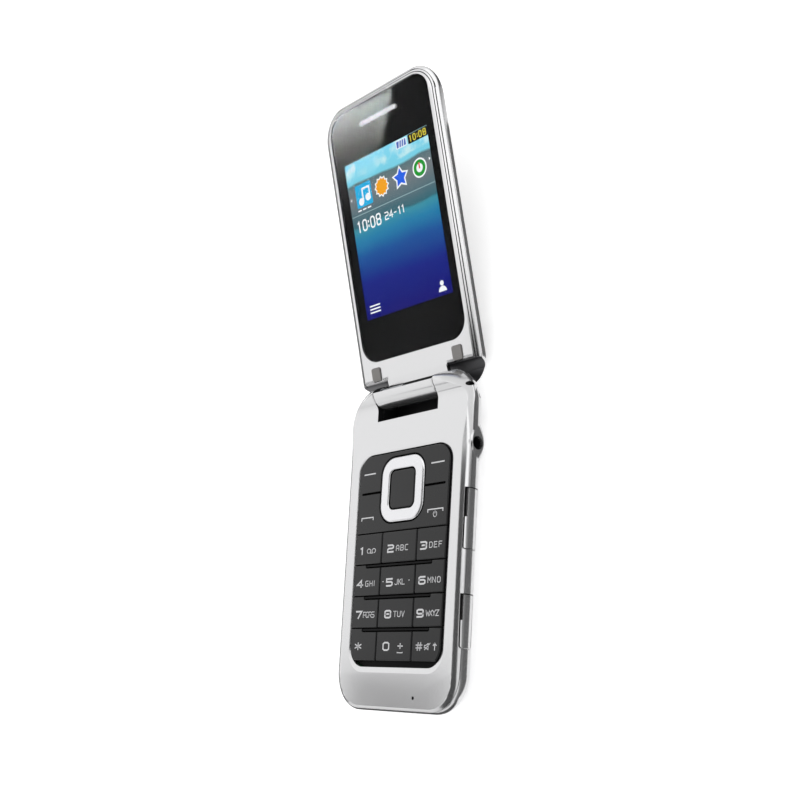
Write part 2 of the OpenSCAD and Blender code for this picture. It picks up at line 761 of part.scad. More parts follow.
function lid_in(z) = z > lid_face - lid_edge_h
    ? lid_edge_w * pow((z - lid_face + lid_edge_h) / lid_edge_h, 2)
    : inset(lid_face - lid_edge_h - z, lid_round_h, lid_round_w);
function tail_in(z) = z > lid_face - lid_edge_h ? 0
    : inset(lid_face - lid_edge_h - 2.3 - z, lid_round_h - 2.3, 4.6);
function lid_outline(z, d = 0) = outline(lid_half - lid_in(z) - d, lid_half - lid_in(z) - d,
    -lid_tail + tail_in(z) + d, lid_reach - lid_in(z) - d,
    max(lid_corner - d - 1, 2), max(lid_corner - d, 2));
lid_levels = concat([for (a = [0 : 11.25 : 80]) lid_back + lid_round_h * (1 - cos(a))],
    [for (i = [0 : 4]) lid_face - lid_edge_h * (1 - i / 4)]);
module lid_solid() {
    loft([for (z = lid_levels) [z, lid_outline(z)]]);
}

// Room for the shoulders in the lid's lower corners
module scoops() {
    for (s = [-1, 1]) translate([s > 0 ? well_half - barrel_gap : -lid_half - 5, 0, 0])
        rotate([90, 0, 90]) linear_extrude(lid_half + 5 - well_half + barrel_gap) {
            circle(scoop_r);
            polygon([[3.7, -3.5], [1.2, scoop_floor], [-9, scoop_floor], [-9, 5], [0, 5]]);
        }
}
// Half space on the lid's side of the barrel's flat back
module barrel_flat() {
    translate([-barrel_len, (2 + 0.136 * -lid_face) / 0.99, lid_face])
        rotate([7.8, 0, 0]) cube([2 * barrel_len, 20, 20]);
}
pin_hole = pin_r + pin_clear;
pin_in = 4;       // pin inside the barrel
cam_len = 9;
cam_r = 1.45;
module lid_bores() {
    rod(barrel_len / 2 - pin_in, barrel_len / 2 + 1, 0, 0, pin_r);
    rod(-barrel_len / 2 - 1, -barrel_len / 2 + cam_len, 0, 0, cam_r);
}
inner_in = lid_rim;
flex_z = lid_face - 2.5;
module flex_slot() {
    box([-5, neck_y - 4, flex_z - fit], [5, neck_y + 2, flex_z + 0.15 + 2 * fit]);
}
neck_y = 7;
module inner_plate(d, z0, z1) {
    translate([0, 0, z0]) linear_extrude(z1 - z0)
        polygon(outline(lid_half - inner_in - d, lid_half - inner_in - d, -lid_tail + 1,
            lid_reach - inner_in - d, 2, lid_corner - inner_in - d, 8));
}
module lid_inner_shell() {
    color(silver) place_lid() difference() {
        union() {
            difference() {
                intersection() {
                    inner_plate(0, lid_face - plate_t, lid_face);
                    lid_solid();
                }
                scoops();
                box([-lid_half, -9, lid_face - 3], [lid_half, 0.6, lid_face + 1]);
            }
            difference() {
                union() {
                    rod(-barrel_len / 2, barrel_len / 2, 0, 0, barrel_r);
                    box([-barrel_len / 2, -lid_tail + 0.7, scoop_floor + 0.1],
                        [barrel_len / 2, neck_y, lid_face]);
                }
                barrel_flat();
            }
        }
        glass_recess();
        lid_bores();
        box([-barrel_len / 2 - 1, -20, lid_back],
            [barrel_len / 2 + 1, -barrel_r * 0.55, -barrel_r * 0.95]);
        flex_slot();
        pad_pockets();
    }
}
module glass_shape(d, z0, z1) {
    y = screen_y + glass_up;
    plate(glass_w + 2 * d, y - glass_h / 2 - d, y + glass_h / 2 + d, glass_corner + d, z0, z1);
}
lcd_top = lid_face - glass_t - 0.1;
module glass_recess() {
    glass_shape(0.06, lid_face - glass_t - 0.05, lid_face + 1);
    plate(screen_w + 2.6, screen_y - screen_h / 2 - 2.2, screen_y + screen_h / 2 + 1.6, 1,
        lid_face - 3, lid_face + 1);
    ear_slot(0.4, lid_face - 3, lid_face);
}
ear_y = screen_y + 34.2;
ear_h = 1.35;
module ear_slot(d, z0, z1) {
    plate(ear_w + 2 * d, ear_y - ear_h / 2 - d, ear_y + ear_h / 2 + d, ear_h / 2 + d - 0.01, z0, z1);
}
module display_glass() {
    color("#0b0b0d", 0.5) place_lid() difference() {
        glass_shape(0, lid_face - glass_t, lid_face);
        ear_slot(0.05, lid_face - 3, lid_face + 1);
    }
}
module earpiece_grille() {
    color("#dfe0e2") place_lid() difference() {
        ear_slot(0, lid_face - glass_t - 0.4, lid_face - 0.12);
        for (i = [-7 : 7])
            box([i - 0.3, ear_y - 0.3, lid_face - 4], [i + 0.3, ear_y + 0.3, lid_face + 1]);
    }
}
module earpiece() {
    color(dark) place_lid() plate(ear_w - 4.2, ear_y - 3, ear_y + 3, 2.5, lid_face - glass_t - 3, lid_face - glass_t - 0.45);
}
pad_x = 17.1;
pad_w = 3.5;
pad_h = 3.2;
pad_y = scoop_r + 1.3;
pad_seat = lid_face - 0.7;
pad_top = lid_face + closed_gap - 0.1;
module pad_shape(d, z0, z1) {
    for (s = [-1, 1])
        plate_at(s * pad_x, pad_w + 2 * d, pad_y - pad_h / 2 - d, pad_y + pad_h / 2 + d, 0.8 + d, z0, z1);
}
module pad_pockets() { pad_shape(0.1, pad_seat, lid_face + 1); }
module stop_pads() {
    color("#7c7d80") place_lid() difference() {
        pad_shape(0, pad_seat + 0.02, pad_top);
        rotate([90, 0, 90]) translate([0, 0, -lid_half]) linear_extrude(lid_w)
            polygon([[pad_y - 0.1, pad_top + eps], [pad_y - 1.4, lid_face + 0.25],
                [pad_y - pad_h, lid_face - 0.1], [pad_y - pad_h, pad_top + eps]]);
    }
}
module lid_outer_shell() {
    color(silver) place_lid() difference() {
        lid_solid();
        inner_plate(-0.06, lid_face - plate_t - 0.02, lid_face + 1);
        scoops();
        lid_cavity();
        box([-barrel_len / 2 - 0.1, -lid_tail - 1, scoop_floor],
            [barrel_len / 2 + 0.1, neck_y + 0.1, lid_face + 1]);
        lens_seat(0.05, lid_back - 1);
        flex_slot();
    }
}
module lid_cavity() {
    y0 = neck_y + 1.4;
    loft([for (z = [lid_back + lid_skin, lid_back + 2, lid_back + 3.5, lid_face - plate_t])
        [z, outline(lid_half - lid_in(z) - wall, lid_half - lid_in(z) - wall, y0,
            lid_reach - lid_in(z) - wall, 2, lid_corner - wall, 4)]]);
}
module lcd_module() {
    color("#2b3f7a") place_lid()
        plate(screen_w + 2, screen_y - screen_h / 2 - 2, screen_y + screen_h / 2 + 1.4, 0.6,
            lcd_top - 2.3, lcd_top);
}
module lid_board() {
    color("#1f5c38") place_lid() difference() {
        plate(2 * (lid_half - wall) - 8, neck_y + 2, screen_y + screen_h / 2 + 4, 3,
            lcd_top - 3.1, lcd_top - 2.4);
        translate([0, lens_y, lid_back]) cylinder(h = 9, r = 4.6);
    }
}
lens_y = 13;
lens_r = 3;
module lens_seat(d, z0) {
    translate([0, lens_y, z0]) cylinder(h = lid_back + lid_skin + 1 - z0, r = lens_r + d);
}
module camera_lens() {
    color("#101014") place_lid() translate([0, lens_y, lid_back + 0.1])
        cylinder(h = lid_skin - 0.15, r = lens_r);
}
module camera_module() {
    color(dark) place_lid() translate([0, lens_y, 0])
        plate(6.4, -3.2, 3.2, 0.5, lid_back + lid_skin, lid_back + lid_skin + 3.6);
}
module lid_flex() {
    color("#c07a2a") place_lid()
        box([-4.5, neck_y - 3.8, flex_z], [4.5, neck_y + 2.6, flex_z + 0.15]);
}
module hinge_pin() {
    color("#a9abae") place_lid() rod(barrel_len / 2 - pin_in, well_half + bearing_len - 0.8, 0, 0, pin_r);
}
module hinge_cam() {
    color("#a9abae") place_lid() {
        rod(-barrel_len / 2 + 0.05, -barrel_len / 2 + cam_len, 0, 0, cam_r);
        rod(-well_half - bearing_len + 0.8, -barrel_len / 2 + 0.1, 0, 0, pin_r);
    }
}

base_front_shell();
base_rear_shell();
base_chassis();
key_mat();
dome_sheet();
main_board();
shield_cans();
battery();
battery_contacts();
sim_holder();
card_slot();
usb_socket();
audio_jack();
loudspeaker();
speaker_grille();
vibration_motor();
microphone();
antenna();
case_screws();
base_flex();
hinge_bearings();
key_1();
key_2();
key_3();
key_4();
key_5();
key_6();
key_7();
key_8();
key_9();
key_star();
key_0();
key_hash();
soft_key_left();
soft_key_right();
call_key();
end_key();
nav_ring();
select_key();
volume_key();
usb_cover();
card_cover();
battery_cover();
lid_inner_shell();
lid_outer_shell();
display_glass();
lcd_module();
lid_board();
earpiece();
earpiece_grille();
stop_pads();
hinge_pin();
hinge_cam();
lid_flex();
camera_module();
camera_lens();
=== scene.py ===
import json
from math import asin, cos, hypot, pi, radians, sin, sqrt, tan

import bpy
from mathutils import Matrix, Vector


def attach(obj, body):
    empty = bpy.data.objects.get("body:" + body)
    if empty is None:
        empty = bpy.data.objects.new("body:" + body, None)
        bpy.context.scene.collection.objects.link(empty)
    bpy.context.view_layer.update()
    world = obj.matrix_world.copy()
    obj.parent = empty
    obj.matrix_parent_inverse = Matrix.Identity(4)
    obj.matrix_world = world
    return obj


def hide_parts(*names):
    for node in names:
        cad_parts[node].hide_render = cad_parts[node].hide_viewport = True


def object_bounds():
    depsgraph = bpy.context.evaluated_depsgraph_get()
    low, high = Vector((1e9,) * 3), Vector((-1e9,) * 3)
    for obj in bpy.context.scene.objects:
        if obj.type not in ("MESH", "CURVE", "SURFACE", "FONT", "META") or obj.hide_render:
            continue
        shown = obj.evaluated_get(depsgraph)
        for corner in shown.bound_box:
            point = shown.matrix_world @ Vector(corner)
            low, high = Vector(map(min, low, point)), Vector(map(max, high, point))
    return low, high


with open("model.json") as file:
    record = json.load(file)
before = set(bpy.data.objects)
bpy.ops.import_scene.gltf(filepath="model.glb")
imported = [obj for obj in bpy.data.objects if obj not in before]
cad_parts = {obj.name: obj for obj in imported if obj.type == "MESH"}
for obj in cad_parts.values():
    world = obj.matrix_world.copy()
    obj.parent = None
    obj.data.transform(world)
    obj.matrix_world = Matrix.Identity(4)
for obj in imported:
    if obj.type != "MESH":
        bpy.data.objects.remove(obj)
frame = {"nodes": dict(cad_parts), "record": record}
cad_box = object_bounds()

MM = 0.001
SIDES = (-1, 1)
NEAR = 0.02

# ================= camera =================
CAMERA_AT = (0.212712, -0.043469, 0.202969)
CAMERA_AXES = Matrix(((0.677057, 0.167343, 0.716652), (0.056144, 0.959221, -0.277026),
                      (-0.733786, 0.227798, 0.640052)))
FOCAL_LENGTH = 46.6969


def make_camera():
    data = bpy.data.cameras.new("camera")
    data.sensor_width = 36.0
    data.lens = FOCAL_LENGTH
    data.clip_start = 0.01
    camera = bpy.data.objects.new("camera", data)
    bpy.context.scene.collection.objects.link(camera)
    camera.matrix_world = Matrix.Translation(CAMERA_AT) @ CAMERA_AXES.to_4x4()
    bpy.context.scene.camera = camera


make_camera()
bpy.context.scene.view_settings.view_transform = "Standard"

# ================= sizes, in millimetres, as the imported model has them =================
BASE_W = 50.0
BASE_TAPER = 0.6
BASE_REACH = 90.6
BASE_TAIL = 2.8
BASE_T = 10.0
BASE_CORNER = 9.5
SHOULDER_CORNER = 11.0
WALL = 1.2
BACK_ROUND_H, BACK_ROUND_W = 7.3, 14.0
SEAM_TILT = 0.8
HINGE_DROP = 1.73
BARREL_R = 4.85
BARREL_LEN = 24.8
BARREL_HALF = BARREL_LEN / 2
OPEN_LEAN = 16.25
SHOULDER_LEAN = 24.5
LID_W = 50.0
LID_REACH = 90.9
LID_TAIL = 3.2
LID_T = 6.4
CLOSED_GAP = 0.8
LID_CORNER = 9.5
LID_ROUND_W = 7.4
LID_RIM = 1.75

BASE_LEN = BASE_REACH + BASE_TAIL
HINGE_Y = BASE_LEN / 2 - BASE_TAIL
HINGE_Z = BASE_T - HINGE_DROP
FREE_Y = -BASE_LEN / 2
HALF_W = BASE_W / 2
EDGE_W, EDGE_H = 2.7, 2.2
END_ROUND_W, END_ROUND_H = 10.0, 7.0
FLOOR_T = 1.0
FACE_T = 1.2
DOME_FILLET = 3.0
SHOULDER_ROUND_W = 9.0
SEAM_Z = BASE_T - 1.6
WELL_HALF = BARREL_HALF + 0.2
WELL_Y = HINGE_Y - 9.1
WELL_FLOOR = 1.5
WELL_END = HINGE_Y - 2.2
CAVITY_END = WELL_Y - 1.2
FIT = 0.1
SEAM_GAP = 0.13

LID_FACE = -(HINGE_DROP + CLOSED_GAP)
LID_BACK = LID_FACE - LID_T
LID_HALF = LID_W / 2
LID_EDGE_W, LID_EDGE_H = 2.5, 1.3
LID_ROUND_H = LID_T - LID_EDGE_H
LID_SKIN = 1.1
PLATE_T = 1.1
SCOOP_R = BARREL_R + 0.35
SCOOP_FLOOR = LID_BACK + 2.08
NECK_Y = 7.0

SCREEN_W, SCREEN_H, SCREEN_Y = 36.72, 48.96, 48.2
SCREEN_LOW, SCREEN_HIGH = SCREEN_Y - SCREEN_H / 2, SCREEN_Y + SCREEN_H / 2
GLASS_W, GLASS_H, GLASS_Y, GLASS_CORNER, GLASS_T = 43.6, 78.0, 49.45, 6.0, 0.8
EAR_Y, EAR_W, EAR_H = SCREEN_Y + 34.2, 16.2, 1.35
PAD_X, PAD_W, PAD_H, PAD_Y, PAD_CORNER = 17.1, 3.5, 4.0, SCOOP_R + 1.4, 0.45
LENS_Y, LENS_R = 13.0, 3.0

KEYPAD_W, KEYPAD_TAPER = 38.2, 1.4
KEYPAD_CORNER = 5.5
KP_TOP = HINGE_Y - 18.9
ROWS_TOP = KP_TOP - 23.3
ROW_PITCH = 8.85
FOOT_STRIP = 1.6
KP_LOW = ROWS_TOP - 4 * ROW_PITCH - FOOT_STRIP
COL_W = 14.2
RIB_LEN, RIB_T = 26.4, 0.45
KEY_GAP = 0.25
KEY_TOP = BASE_T + 0.25
KEY_LOW = KEY_TOP - 1.4
RING_Y = KP_TOP - 11.4
RING_W, RING_H, RING_CORNER, RING_GAP = 17.5, 18.6, 5.0, 0.45
SELECT_GAP = 0.35
SELECT_W, SELECT_H, SELECT_CORNER = 9.9, 10.9, 1.6

JACK_Y, JACK_Z, JACK_R, JACK_BODY, JACK_LEN = HINGE_Y - 20, 6.6, 1.8, 2.6, 14.0
JACK_MOUTH = HALF_W - 0.55
USB_Y, USB_LEN = HINGE_Y - 40.6, 16.0
CARD_Y, CARD_LEN = HINGE_Y - 67.2, 13.4
POCKET_GAP = 0.28
COVER_INNER = HALF_W - 1.1
PIVOT_R = 0.55
PIVOT_X = COVER_INNER + PIVOT_R
COVER_LOW, COVER_HIGH, COVER_STEP = 5.0, BASE_T - 0.75, 0.5
VOLUME_Y, VOLUME_LEN, VOLUME_H, VOLUME_Z = HINGE_Y - 37, 15.0, 2.2, 6.3
VOLUME_IN = -HALF_W + WALL + 0.85
MIC_X, MIC_Y, MIC_R = 8.1, FREE_Y + 3.8, 0.45
STRAP_R = 1.1
PANEL_HALF, PANEL_HIGH, PANEL_END = HALF_W - 4.6, 2.6, 10.3
BAY_HALF = 17.4
GRILLE_Y, GRILLE_W, GRILLE_H = HINGE_Y - 15.5, 15.0, 5.4
SCREW_X, SCREW_Y, SCREW_SEAT = 18.0, WELL_Y + 0.1, 2.7


def leaning(at, angle):
    """Place at a point, turned about an axis along X by an angle in degrees."""
    return Matrix.Translation(at) @ Matrix.Rotation(radians(angle), 4, "X")


LID_PLACE = leaning((0, HINGE_Y, HINGE_Z), OPEN_LEAN)


# ================= mesh helpers, in millimetres =================
def arc(cx, cy, r, a, b, n):
    """Points of an arc about (cx, cy), from angle a to angle b in degrees, in n steps."""
    return [(cx + r * cos(radians(a + (b - a) * i / n)), cy + r * sin(radians(a + (b - a) * i / n)))
            for i in range(n + 1)]


def outline(w0, w1, y0, y1, r0, r1, n=14):
    """Rounded outline from y0 to y1, with half widths w0, w1 and corner radii r0, r1 at its two ends."""
    return (arc(w0 - r0, y0 + r0, r0, -90, 0, n) + arc(w1 - r1, y1 - r1, r1, 0, 90, n)
            + arc(r1 - w1, y1 - r1, r1, 90, 180, n) + arc(r0 - w0, y0 + r0, r0, 180, 270, n))


def solid(name, verts, faces):
    mesh = bpy.data.meshes.new(name)
    mesh.from_pydata(verts, [], faces)
    mesh.validate()
    obj = bpy.data.objects.new(name, mesh)
    bpy.context.scene.collection.objects.link(obj)
    return obj


def loft(levels, place=None):
    """Closed solid through (height, outline) levels; place maps (x, y, height) to a point."""
    n = len(levels[0][1])
    verts = [place(x, y, z) if place else (x, y, z) for z, pts in levels for x, y in pts]
    faces = [list(reversed(range(n)))]
    for k in range(len(levels) - 1):
        a, b = k * n, (k + 1) * n
        faces += [(a + i, a + (i + 1) % n, b + (i + 1) % n, b + i) for i in range(n)]
    faces.append([(len(levels) - 1) * n + i for i in range(n)])
    return solid("loft", verts, faces)


def prism(pts, z0, z1, place=None):
    return loft([(z0, pts), (z1, pts)], place)


def box(a, b):
    return prism([(a[0], a[1]), (b[0], a[1]), (b[0], b[1]), (a[0], b[1])], a[2], b[2])


def slab(half, y0, y1, z0, z1):
    """Box that reaches half to either side of the middle."""
    return box((-half, y0, z0), (half, y1, z1))


def circle(cx, cy, r, n=40):
    return arc(cx, cy, r, 0, 360 * (1 - 1 / n), n - 1)


def along_x(y, z, x):
    return (x, y, z)


def rod(x0, x1, y, z, r, n=56):
    """Cylinder along X."""
    return prism(circle(y, z, r, n), x0, x1, along_x)


def disc(x, y, z0, z1, r, n=40):
    """Cylinder along Z."""
    return prism(circle(x, y, r, n), z0, z1)


def plate_pts(w, y0, y1, r, x=0.0, n=10):
    return [(px + x, py) for px, py in outline(w / 2, w / 2, y0, y1, r, r, n)]


def centred_pts(w, h, y, r, d=0.0, x=0.0, n=10):
    """Rounded outline w by h about (x, y), made larger all round by d."""
    return plate_pts(w + 2 * d, y - h / 2 - d, y + h / 2 + d, r + d, x, n)


def plate(w, y0, y1, r, z0, z1, x=0.0, n=10):
    return prism(plate_pts(w, y0, y1, r, x, n), z0, z1)


def combine(target, others, operation):
    """Boolean of target with each of the others, which are used up."""
    for other in others:
        change = target.modifiers.new("boolean", "BOOLEAN")
        change.operation = operation
        change.solver = "MANIFOLD"
        change.object = other
    graph = bpy.context.evaluated_depsgraph_get()
    target.data = bpy.data.meshes.new_from_object(target.evaluated_get(graph))
    target.modifiers.clear()
    for other in others:
        bpy.data.objects.remove(other)
    return target


def cut(target, *others):
    return combine(target, others, "DIFFERENCE")


def join(target, *others):
    return combine(target, others, "UNION")


def common(target, other):
    return combine(target, [other], "INTERSECT")


def turned(obj, matrix):
    obj.data.transform(matrix)
    return obj


def piece(obj, name, body, material, replaces=(), sharp=32, weighted=True):
    """Names a finished solid, brings it to metres and hangs it on its body. The lid's come in its axes."""
    obj.name = name
    mesh = obj.data
    mesh.name = name
    mesh.transform(Matrix.Scale(MM, 4) @ (LID_PLACE if body == "lid" else Matrix.Identity(4)))
    mesh.materials.clear()
    mesh.materials.append(material)
    mesh.shade_smooth()
    mesh.set_sharp_from_angle(angle=radians(sharp))
    if weighted:
        normals = obj.modifiers.new("normals", "WEIGHTED_NORMAL")
        normals.keep_sharp = True
        normals.weight = 60
    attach(obj, body)
    if replaces:
        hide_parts(*replaces)
    return obj


# ================= materials =================
def linear(r, g, b):
    """Linear colour of an sRGB colour given in 0 to 255."""
    def one(v):
        v /= 255
        return v / 12.92 if v <= 0.04045 else ((v + 0.055) / 1.055) ** 2.4
    return (one(r), one(g), one(b), 1.0)


def new_tree(owner):
    owner.use_nodes = True
    return owner.node_tree


def feed(tree, node, inputs):
    """Sets a node's inputs by name or number, or links those whose value is another node's output."""
    for key, value in inputs.items():
        if isinstance(value, bpy.types.NodeSocket):
            tree.links.new(value, node.inputs[key])
        else:
            node.inputs[key].default_value = value


def add(tree, kind, inputs, output=0, **settings):
    """Adds a node and returns one of its outputs."""
    node = tree.nodes.new("ShaderNode" + kind)
    for key, value in settings.items():
        setattr(node, key, value)
    feed(tree, node, inputs)
    return node.outputs[output]


def noise(tree, scale, detail=2.0):
    place = add(tree, "TexCoord", {}, "Object")
    return add(tree, "TexNoise", {"Scale": scale, "Detail": detail, "Vector": place})


def along_box(tree, axis):
    """How far a point is along an axis of its object's box, from 0 to 1."""
    return add(tree, "SeparateXYZ", {"Vector": add(tree, "TexCoord", {}, "Generated")}, axis)


def ramp(tree, source, stops):
    """Colour that follows source through (position, colour) stops."""
    node = tree.nodes.new("ShaderNodeValToRGB")
    elements = node.color_ramp.elements
    while len(elements) < len(stops):
        elements.new(0.5)
    for element, (at, color) in zip(elements, stops):
        element.position = at
        element.color = color
    tree.links.new(source, node.inputs["Fac"])
    return node.outputs["Color"]


def speckle(tree, fine, color, vary):
    """The colour made darker and lighter by vary, along a noise."""
    dark, light = [tuple(v * factor for v in color[:3]) + (1.0,) for factor in (1 - vary, 1 + vary)]
    return add(tree, "Mix", {"A": dark, "B": light, "Factor": fine}, "Result", data_type="RGBA")


FINISHES = {}


def finish(name, color, rough, metallic=0.0, vary=0.05, grain=3000.0, broad=60.0, bump=0.000002,
           spread=0.04, coat=0.0, coat_rough=0.1, specular=0.5, transmission=0.0, ior=1.45):
    """A surface with a fine grain in its sRGB colour and relief, and broad unevenness in its roughness."""
    material = FINISHES[name] = bpy.data.materials.new(name)
    tree = new_tree(material)
    fine = noise(tree, grain, 3.0)
    gloss = add(tree, "MapRange", {"Value": noise(tree, broad), "From Min": 0.3, "From Max": 0.7,
                                   "To Min": rough - spread, "To Max": rough + spread})
    relief = add(tree, "Bump", {"Strength": 1.0, "Distance": bump, "Height": fine})
    feed(tree, tree.nodes["Principled BSDF"], {
        "Base Color": speckle(tree, fine, linear(*color), vary), "Roughness": gloss, "Normal": relief,
        "Metallic": metallic, "Specular IOR Level": specular, "IOR": ior, "Coat Weight": coat,
        "Coat Roughness": coat_rough, "Transmission Weight": transmission})
    return material


SILVER = finish("silver_paint", (208, 208, 209), 0.19, metallic=0.92, grain=5200.0, broad=45.0,
                bump=0.0000012, spread=0.02, coat=0.2, coat_rough=0.08)
# Darker copies of the silver paint, put on the lid's corner hollows and their round edge as painted shade.
PAINTED_SHADE = finish("painted_shade_metal", (84, 84, 86), 0.34, metallic=0.85, vary=0.08, grain=5200.0)
PAINTED_SHADE_LIGHT, PAINTED_SHADE_MIDDLE = [
    finish(f"painted_shade_metal_{level}", (level, level, level + 2), 0.3, metallic=0.88, vary=0.06, grain=5200.0)
    for level in (168, 126)]
RING = finish("ring_silver", (220, 220, 222), 0.24, metallic=0.9, vary=0.04, grain=6500.0, bump=0.000001,
              coat=0.2)
KEYS = finish("key_black", (25, 25, 26), 0.30, vary=0.10, grain=2600.0, broad=90.0, bump=0.0000015,
              spread=0.05, coat=0.22, coat_rough=0.15, specular=0.28)
LEGEND = finish("key_legend", (205, 205, 207), 0.45, vary=0.06, grain=5000.0, bump=0.000001)
RUBBER = finish("rubber_black", (12, 12, 13), 0.7, vary=0.25, grain=4000.0, bump=0.000006, specular=0.25)
BLACK = finish("black_plastic", (14, 14, 15), 0.5, vary=0.2, grain=4500.0, bump=0.000005, specular=0.35)
PAD = finish("rubber_grey", (128, 126, 124), 0.75, vary=0.10, grain=5000.0, bump=0.000006, specular=0.3)
GRILLE = finish("grille_metal", (232, 232, 234), 0.3, metallic=0.7, grain=5000.0)
LENS = finish("lens_black", (8, 8, 11), 0.06, vary=0.2, grain=800.0, bump=0.0, coat=1.0, coat_rough=0.03)
GLASS = finish("cover_glass", (255, 255, 255), 0.02, vary=0.0, grain=900.0, bump=0.0, spread=0.005,
               transmission=1.0, ior=1.06)
MASK = finish("glass_border", (9, 9, 10), 0.6, vary=0.2, bump=0.0, specular=0.05)
finish("steel", (176, 178, 182), 0.32, metallic=1.0, vary=0.08, grain=3500.0)
finish("gold_contact", (222, 184, 92), 0.28, metallic=1.0, vary=0.06)
finish("circuit_board", (24, 92, 52), 0.4, vary=0.15, grain=1800.0, coat=0.2)
finish("flex_film", (186, 116, 44), 0.35, vary=0.10, grain=2500.0, coat=0.2)
finish("dome_film", (214, 208, 184), 0.35, vary=0.06, grain=2500.0, coat=0.2)
finish("battery_label", (70, 110, 160), 0.45, vary=0.06, grain=2500.0)
FINISHES["display_panel"] = BLACK

# Each node of the model shows the finish of its slot.
for part in frame["record"]["subparts"]:
    node = frame["nodes"][part["node"]]
    node.data.materials.clear()
    node.data.materials.append(FINISHES[part["material_slot"]])


# ================= keypad half: outer form =================
def inset(t, h, w):
    """Quarter ellipse: how far in a surface is, t above the start of a round of height h."""
    return 0.0 if t <= 0 else w * (1 - sqrt(max(0.0, 1 - min(t / h, 1) ** 2)))


def side_in(z, back=BACK_ROUND_W):
    """How far in the keypad half's side is at height z. Its free end takes END_ROUND_W as back."""
    if z < BACK_ROUND_H:
        return inset(BACK_ROUND_H - z, BACK_ROUND_H, back)
    return inset(z - BASE_T + EDGE_H, EDGE_H, EDGE_W)


def end_y(z):
    """Where the hinge end is at height z: round low down, leaning towards the keys higher up."""
    if z < END_ROUND_H:
        return HINGE_Y + BASE_TAIL - inset(END_ROUND_H - z, END_ROUND_H, END_ROUND_W)
    return HINGE_Y + BASE_TAIL - (z - END_ROUND_H) * tan(radians(SHOULDER_LEAN))


BLEND_FROM, BLEND_TO, BLEND_STEPS = 21.0, 9.8, 14


def base_outline(z, n=16):
    """Outline of the keypad half at height z. Its sides swell into the shoulders near the hinge."""
    wide = HALF_W - side_in(z)
    swell = max(0.0, side_in(z) - shoulder_in(z)) if z > BACK_ROUND_H else 0.0
    low = outline(HALF_W - BASE_TAPER - side_in(z), wide, FREE_Y + side_in(z, END_ROUND_W), 0,
                  BASE_CORNER, 2, n)
    top = outline(wide, wide + swell, 0, end_y(z), 2, SHOULDER_CORNER, n)
    right = [(wide + swell * t * t * (3 - 2 * t), HINGE_Y - BLEND_FROM + (BLEND_FROM - BLEND_TO) * t)
             for t in [i / BLEND_STEPS for i in range(BLEND_STEPS + 1)]]
    left = [(-x, y) for x, y in reversed(right)]
    return low[:n + 1] + right + top[n + 1:3 * n + 3] + left + low[3 * n + 3:]


BASE_LEVELS = ([BACK_ROUND_H * (1 - cos(radians(6.0 * i))) for i in range(15)] + [BACK_ROUND_H]
               + [BASE_T - EDGE_H + EDGE_H * sin(radians(9.0 * i)) for i in range(11)])
FILLET_Y = sqrt((BARREL_R + DOME_FILLET) ** 2 - (HINGE_DROP + DOME_FILLET) ** 2)
FILLET_Z = HINGE_Z + BARREL_R * (HINGE_DROP + DOME_FILLET) / (BARREL_R + DOME_FILLET)
DOME_TOP = HINGE_Z + BARREL_R


def shoulder_in(z):
    """How far in the outer side of a shoulder is: one round from the widest height to its top."""
    return inset(z - BACK_ROUND_H, DOME_TOP - BACK_ROUND_H + 0.05, SHOULDER_ROUND_W)


def shoulder_block():
    """The shoulders: the rounded outline carried up to their crest, under a profile with a hollow foot."""
    rise = DOME_TOP + 0.05 - BACK_ROUND_H
    first = asin((BASE_T - BACK_ROUND_H) / rise)
    last = radians(86)
    levels = [(BASE_T - 0.3, 0.02)]
    levels += [(BACK_ROUND_H + rise * sin(first + (last - first) * i / 18), 0.0) for i in range(19)]

    def ring(z, d):
        wide = HALF_W - shoulder_in(z) - d
        return (z, outline(wide, wide, HINGE_Y - BLEND_TO + 0.1, end_y(z) - d, 0.3, SHOULDER_CORNER, 16))
    lean = pi / 2 - asin((FILLET_Z - HINGE_Z) / BARREL_R)
    dome = [(HINGE_Y - BARREL_R * sin(a), HINGE_Z + BARREL_R * cos(a))
            for a in [lean * i / 16 for i in range(17)]]
    foot = [(HINGE_Y - FILLET_Y + DOME_FILLET * sin(a), BASE_T + DOME_FILLET * (1 - cos(a)))
            for a in [lean * i / 10 for i in reversed(range(10))]]
    profile = [(HINGE_Y - 30, BASE_T - 0.5), (HINGE_Y + 20, BASE_T - 0.5), (HINGE_Y + 20, DOME_TOP), *dome,
               *foot, (HINGE_Y - 30, BASE_T - 0.001)]
    return common(loft([ring(z, d) for z, d in levels]), prism(profile, -40, 40, along_x))


BARREL_EDGE = 0.3


def barrel_cone(x0, x1, r0, r1):
    return loft([(x, circle(HINGE_Y, HINGE_Z, r, 64)) for x, r in ((x0, r0), (x1, r1))], along_x)


def shoulder_chamfers():
    """Cutters that break the shoulders' inner edges round the barrel."""
    cutters = []
    for s in SIDES:
        a, b = sorted((s * (WELL_HALF - 0.1), s * (WELL_HALF + BARREL_EDGE)))
        wide = barrel_cone(a, b, BARREL_R + 2, BARREL_R + 2)
        radii = (BARREL_R - BARREL_EDGE - 0.1, BARREL_R + 0.02)[::s]
        cut(wide, barrel_cone(a - 0.01, b + 0.01, *radii))
        cutters.append(common(wide, box((-60, HINGE_Y - BARREL_R, FILLET_Z), (60, HINGE_Y + 20, 40))))
    return cutters


def base_solid():
    return join(loft([(z, base_outline(z)) for z in BASE_LEVELS]), shoulder_block())


def well_cuts():
    return [slab(WELL_HALF, y, HINGE_Y + 20, z, BASE_T + 20)
            for y, z in ((WELL_Y, WELL_FLOOR), (WELL_END, -5))]


def seam_block(shift):
    """Half space above the parting line, moved up by shift."""
    return turned(slab(100, -100, 100, 0, 100), leaning((0, 0, SEAM_Z + shift), -SEAM_TILT))


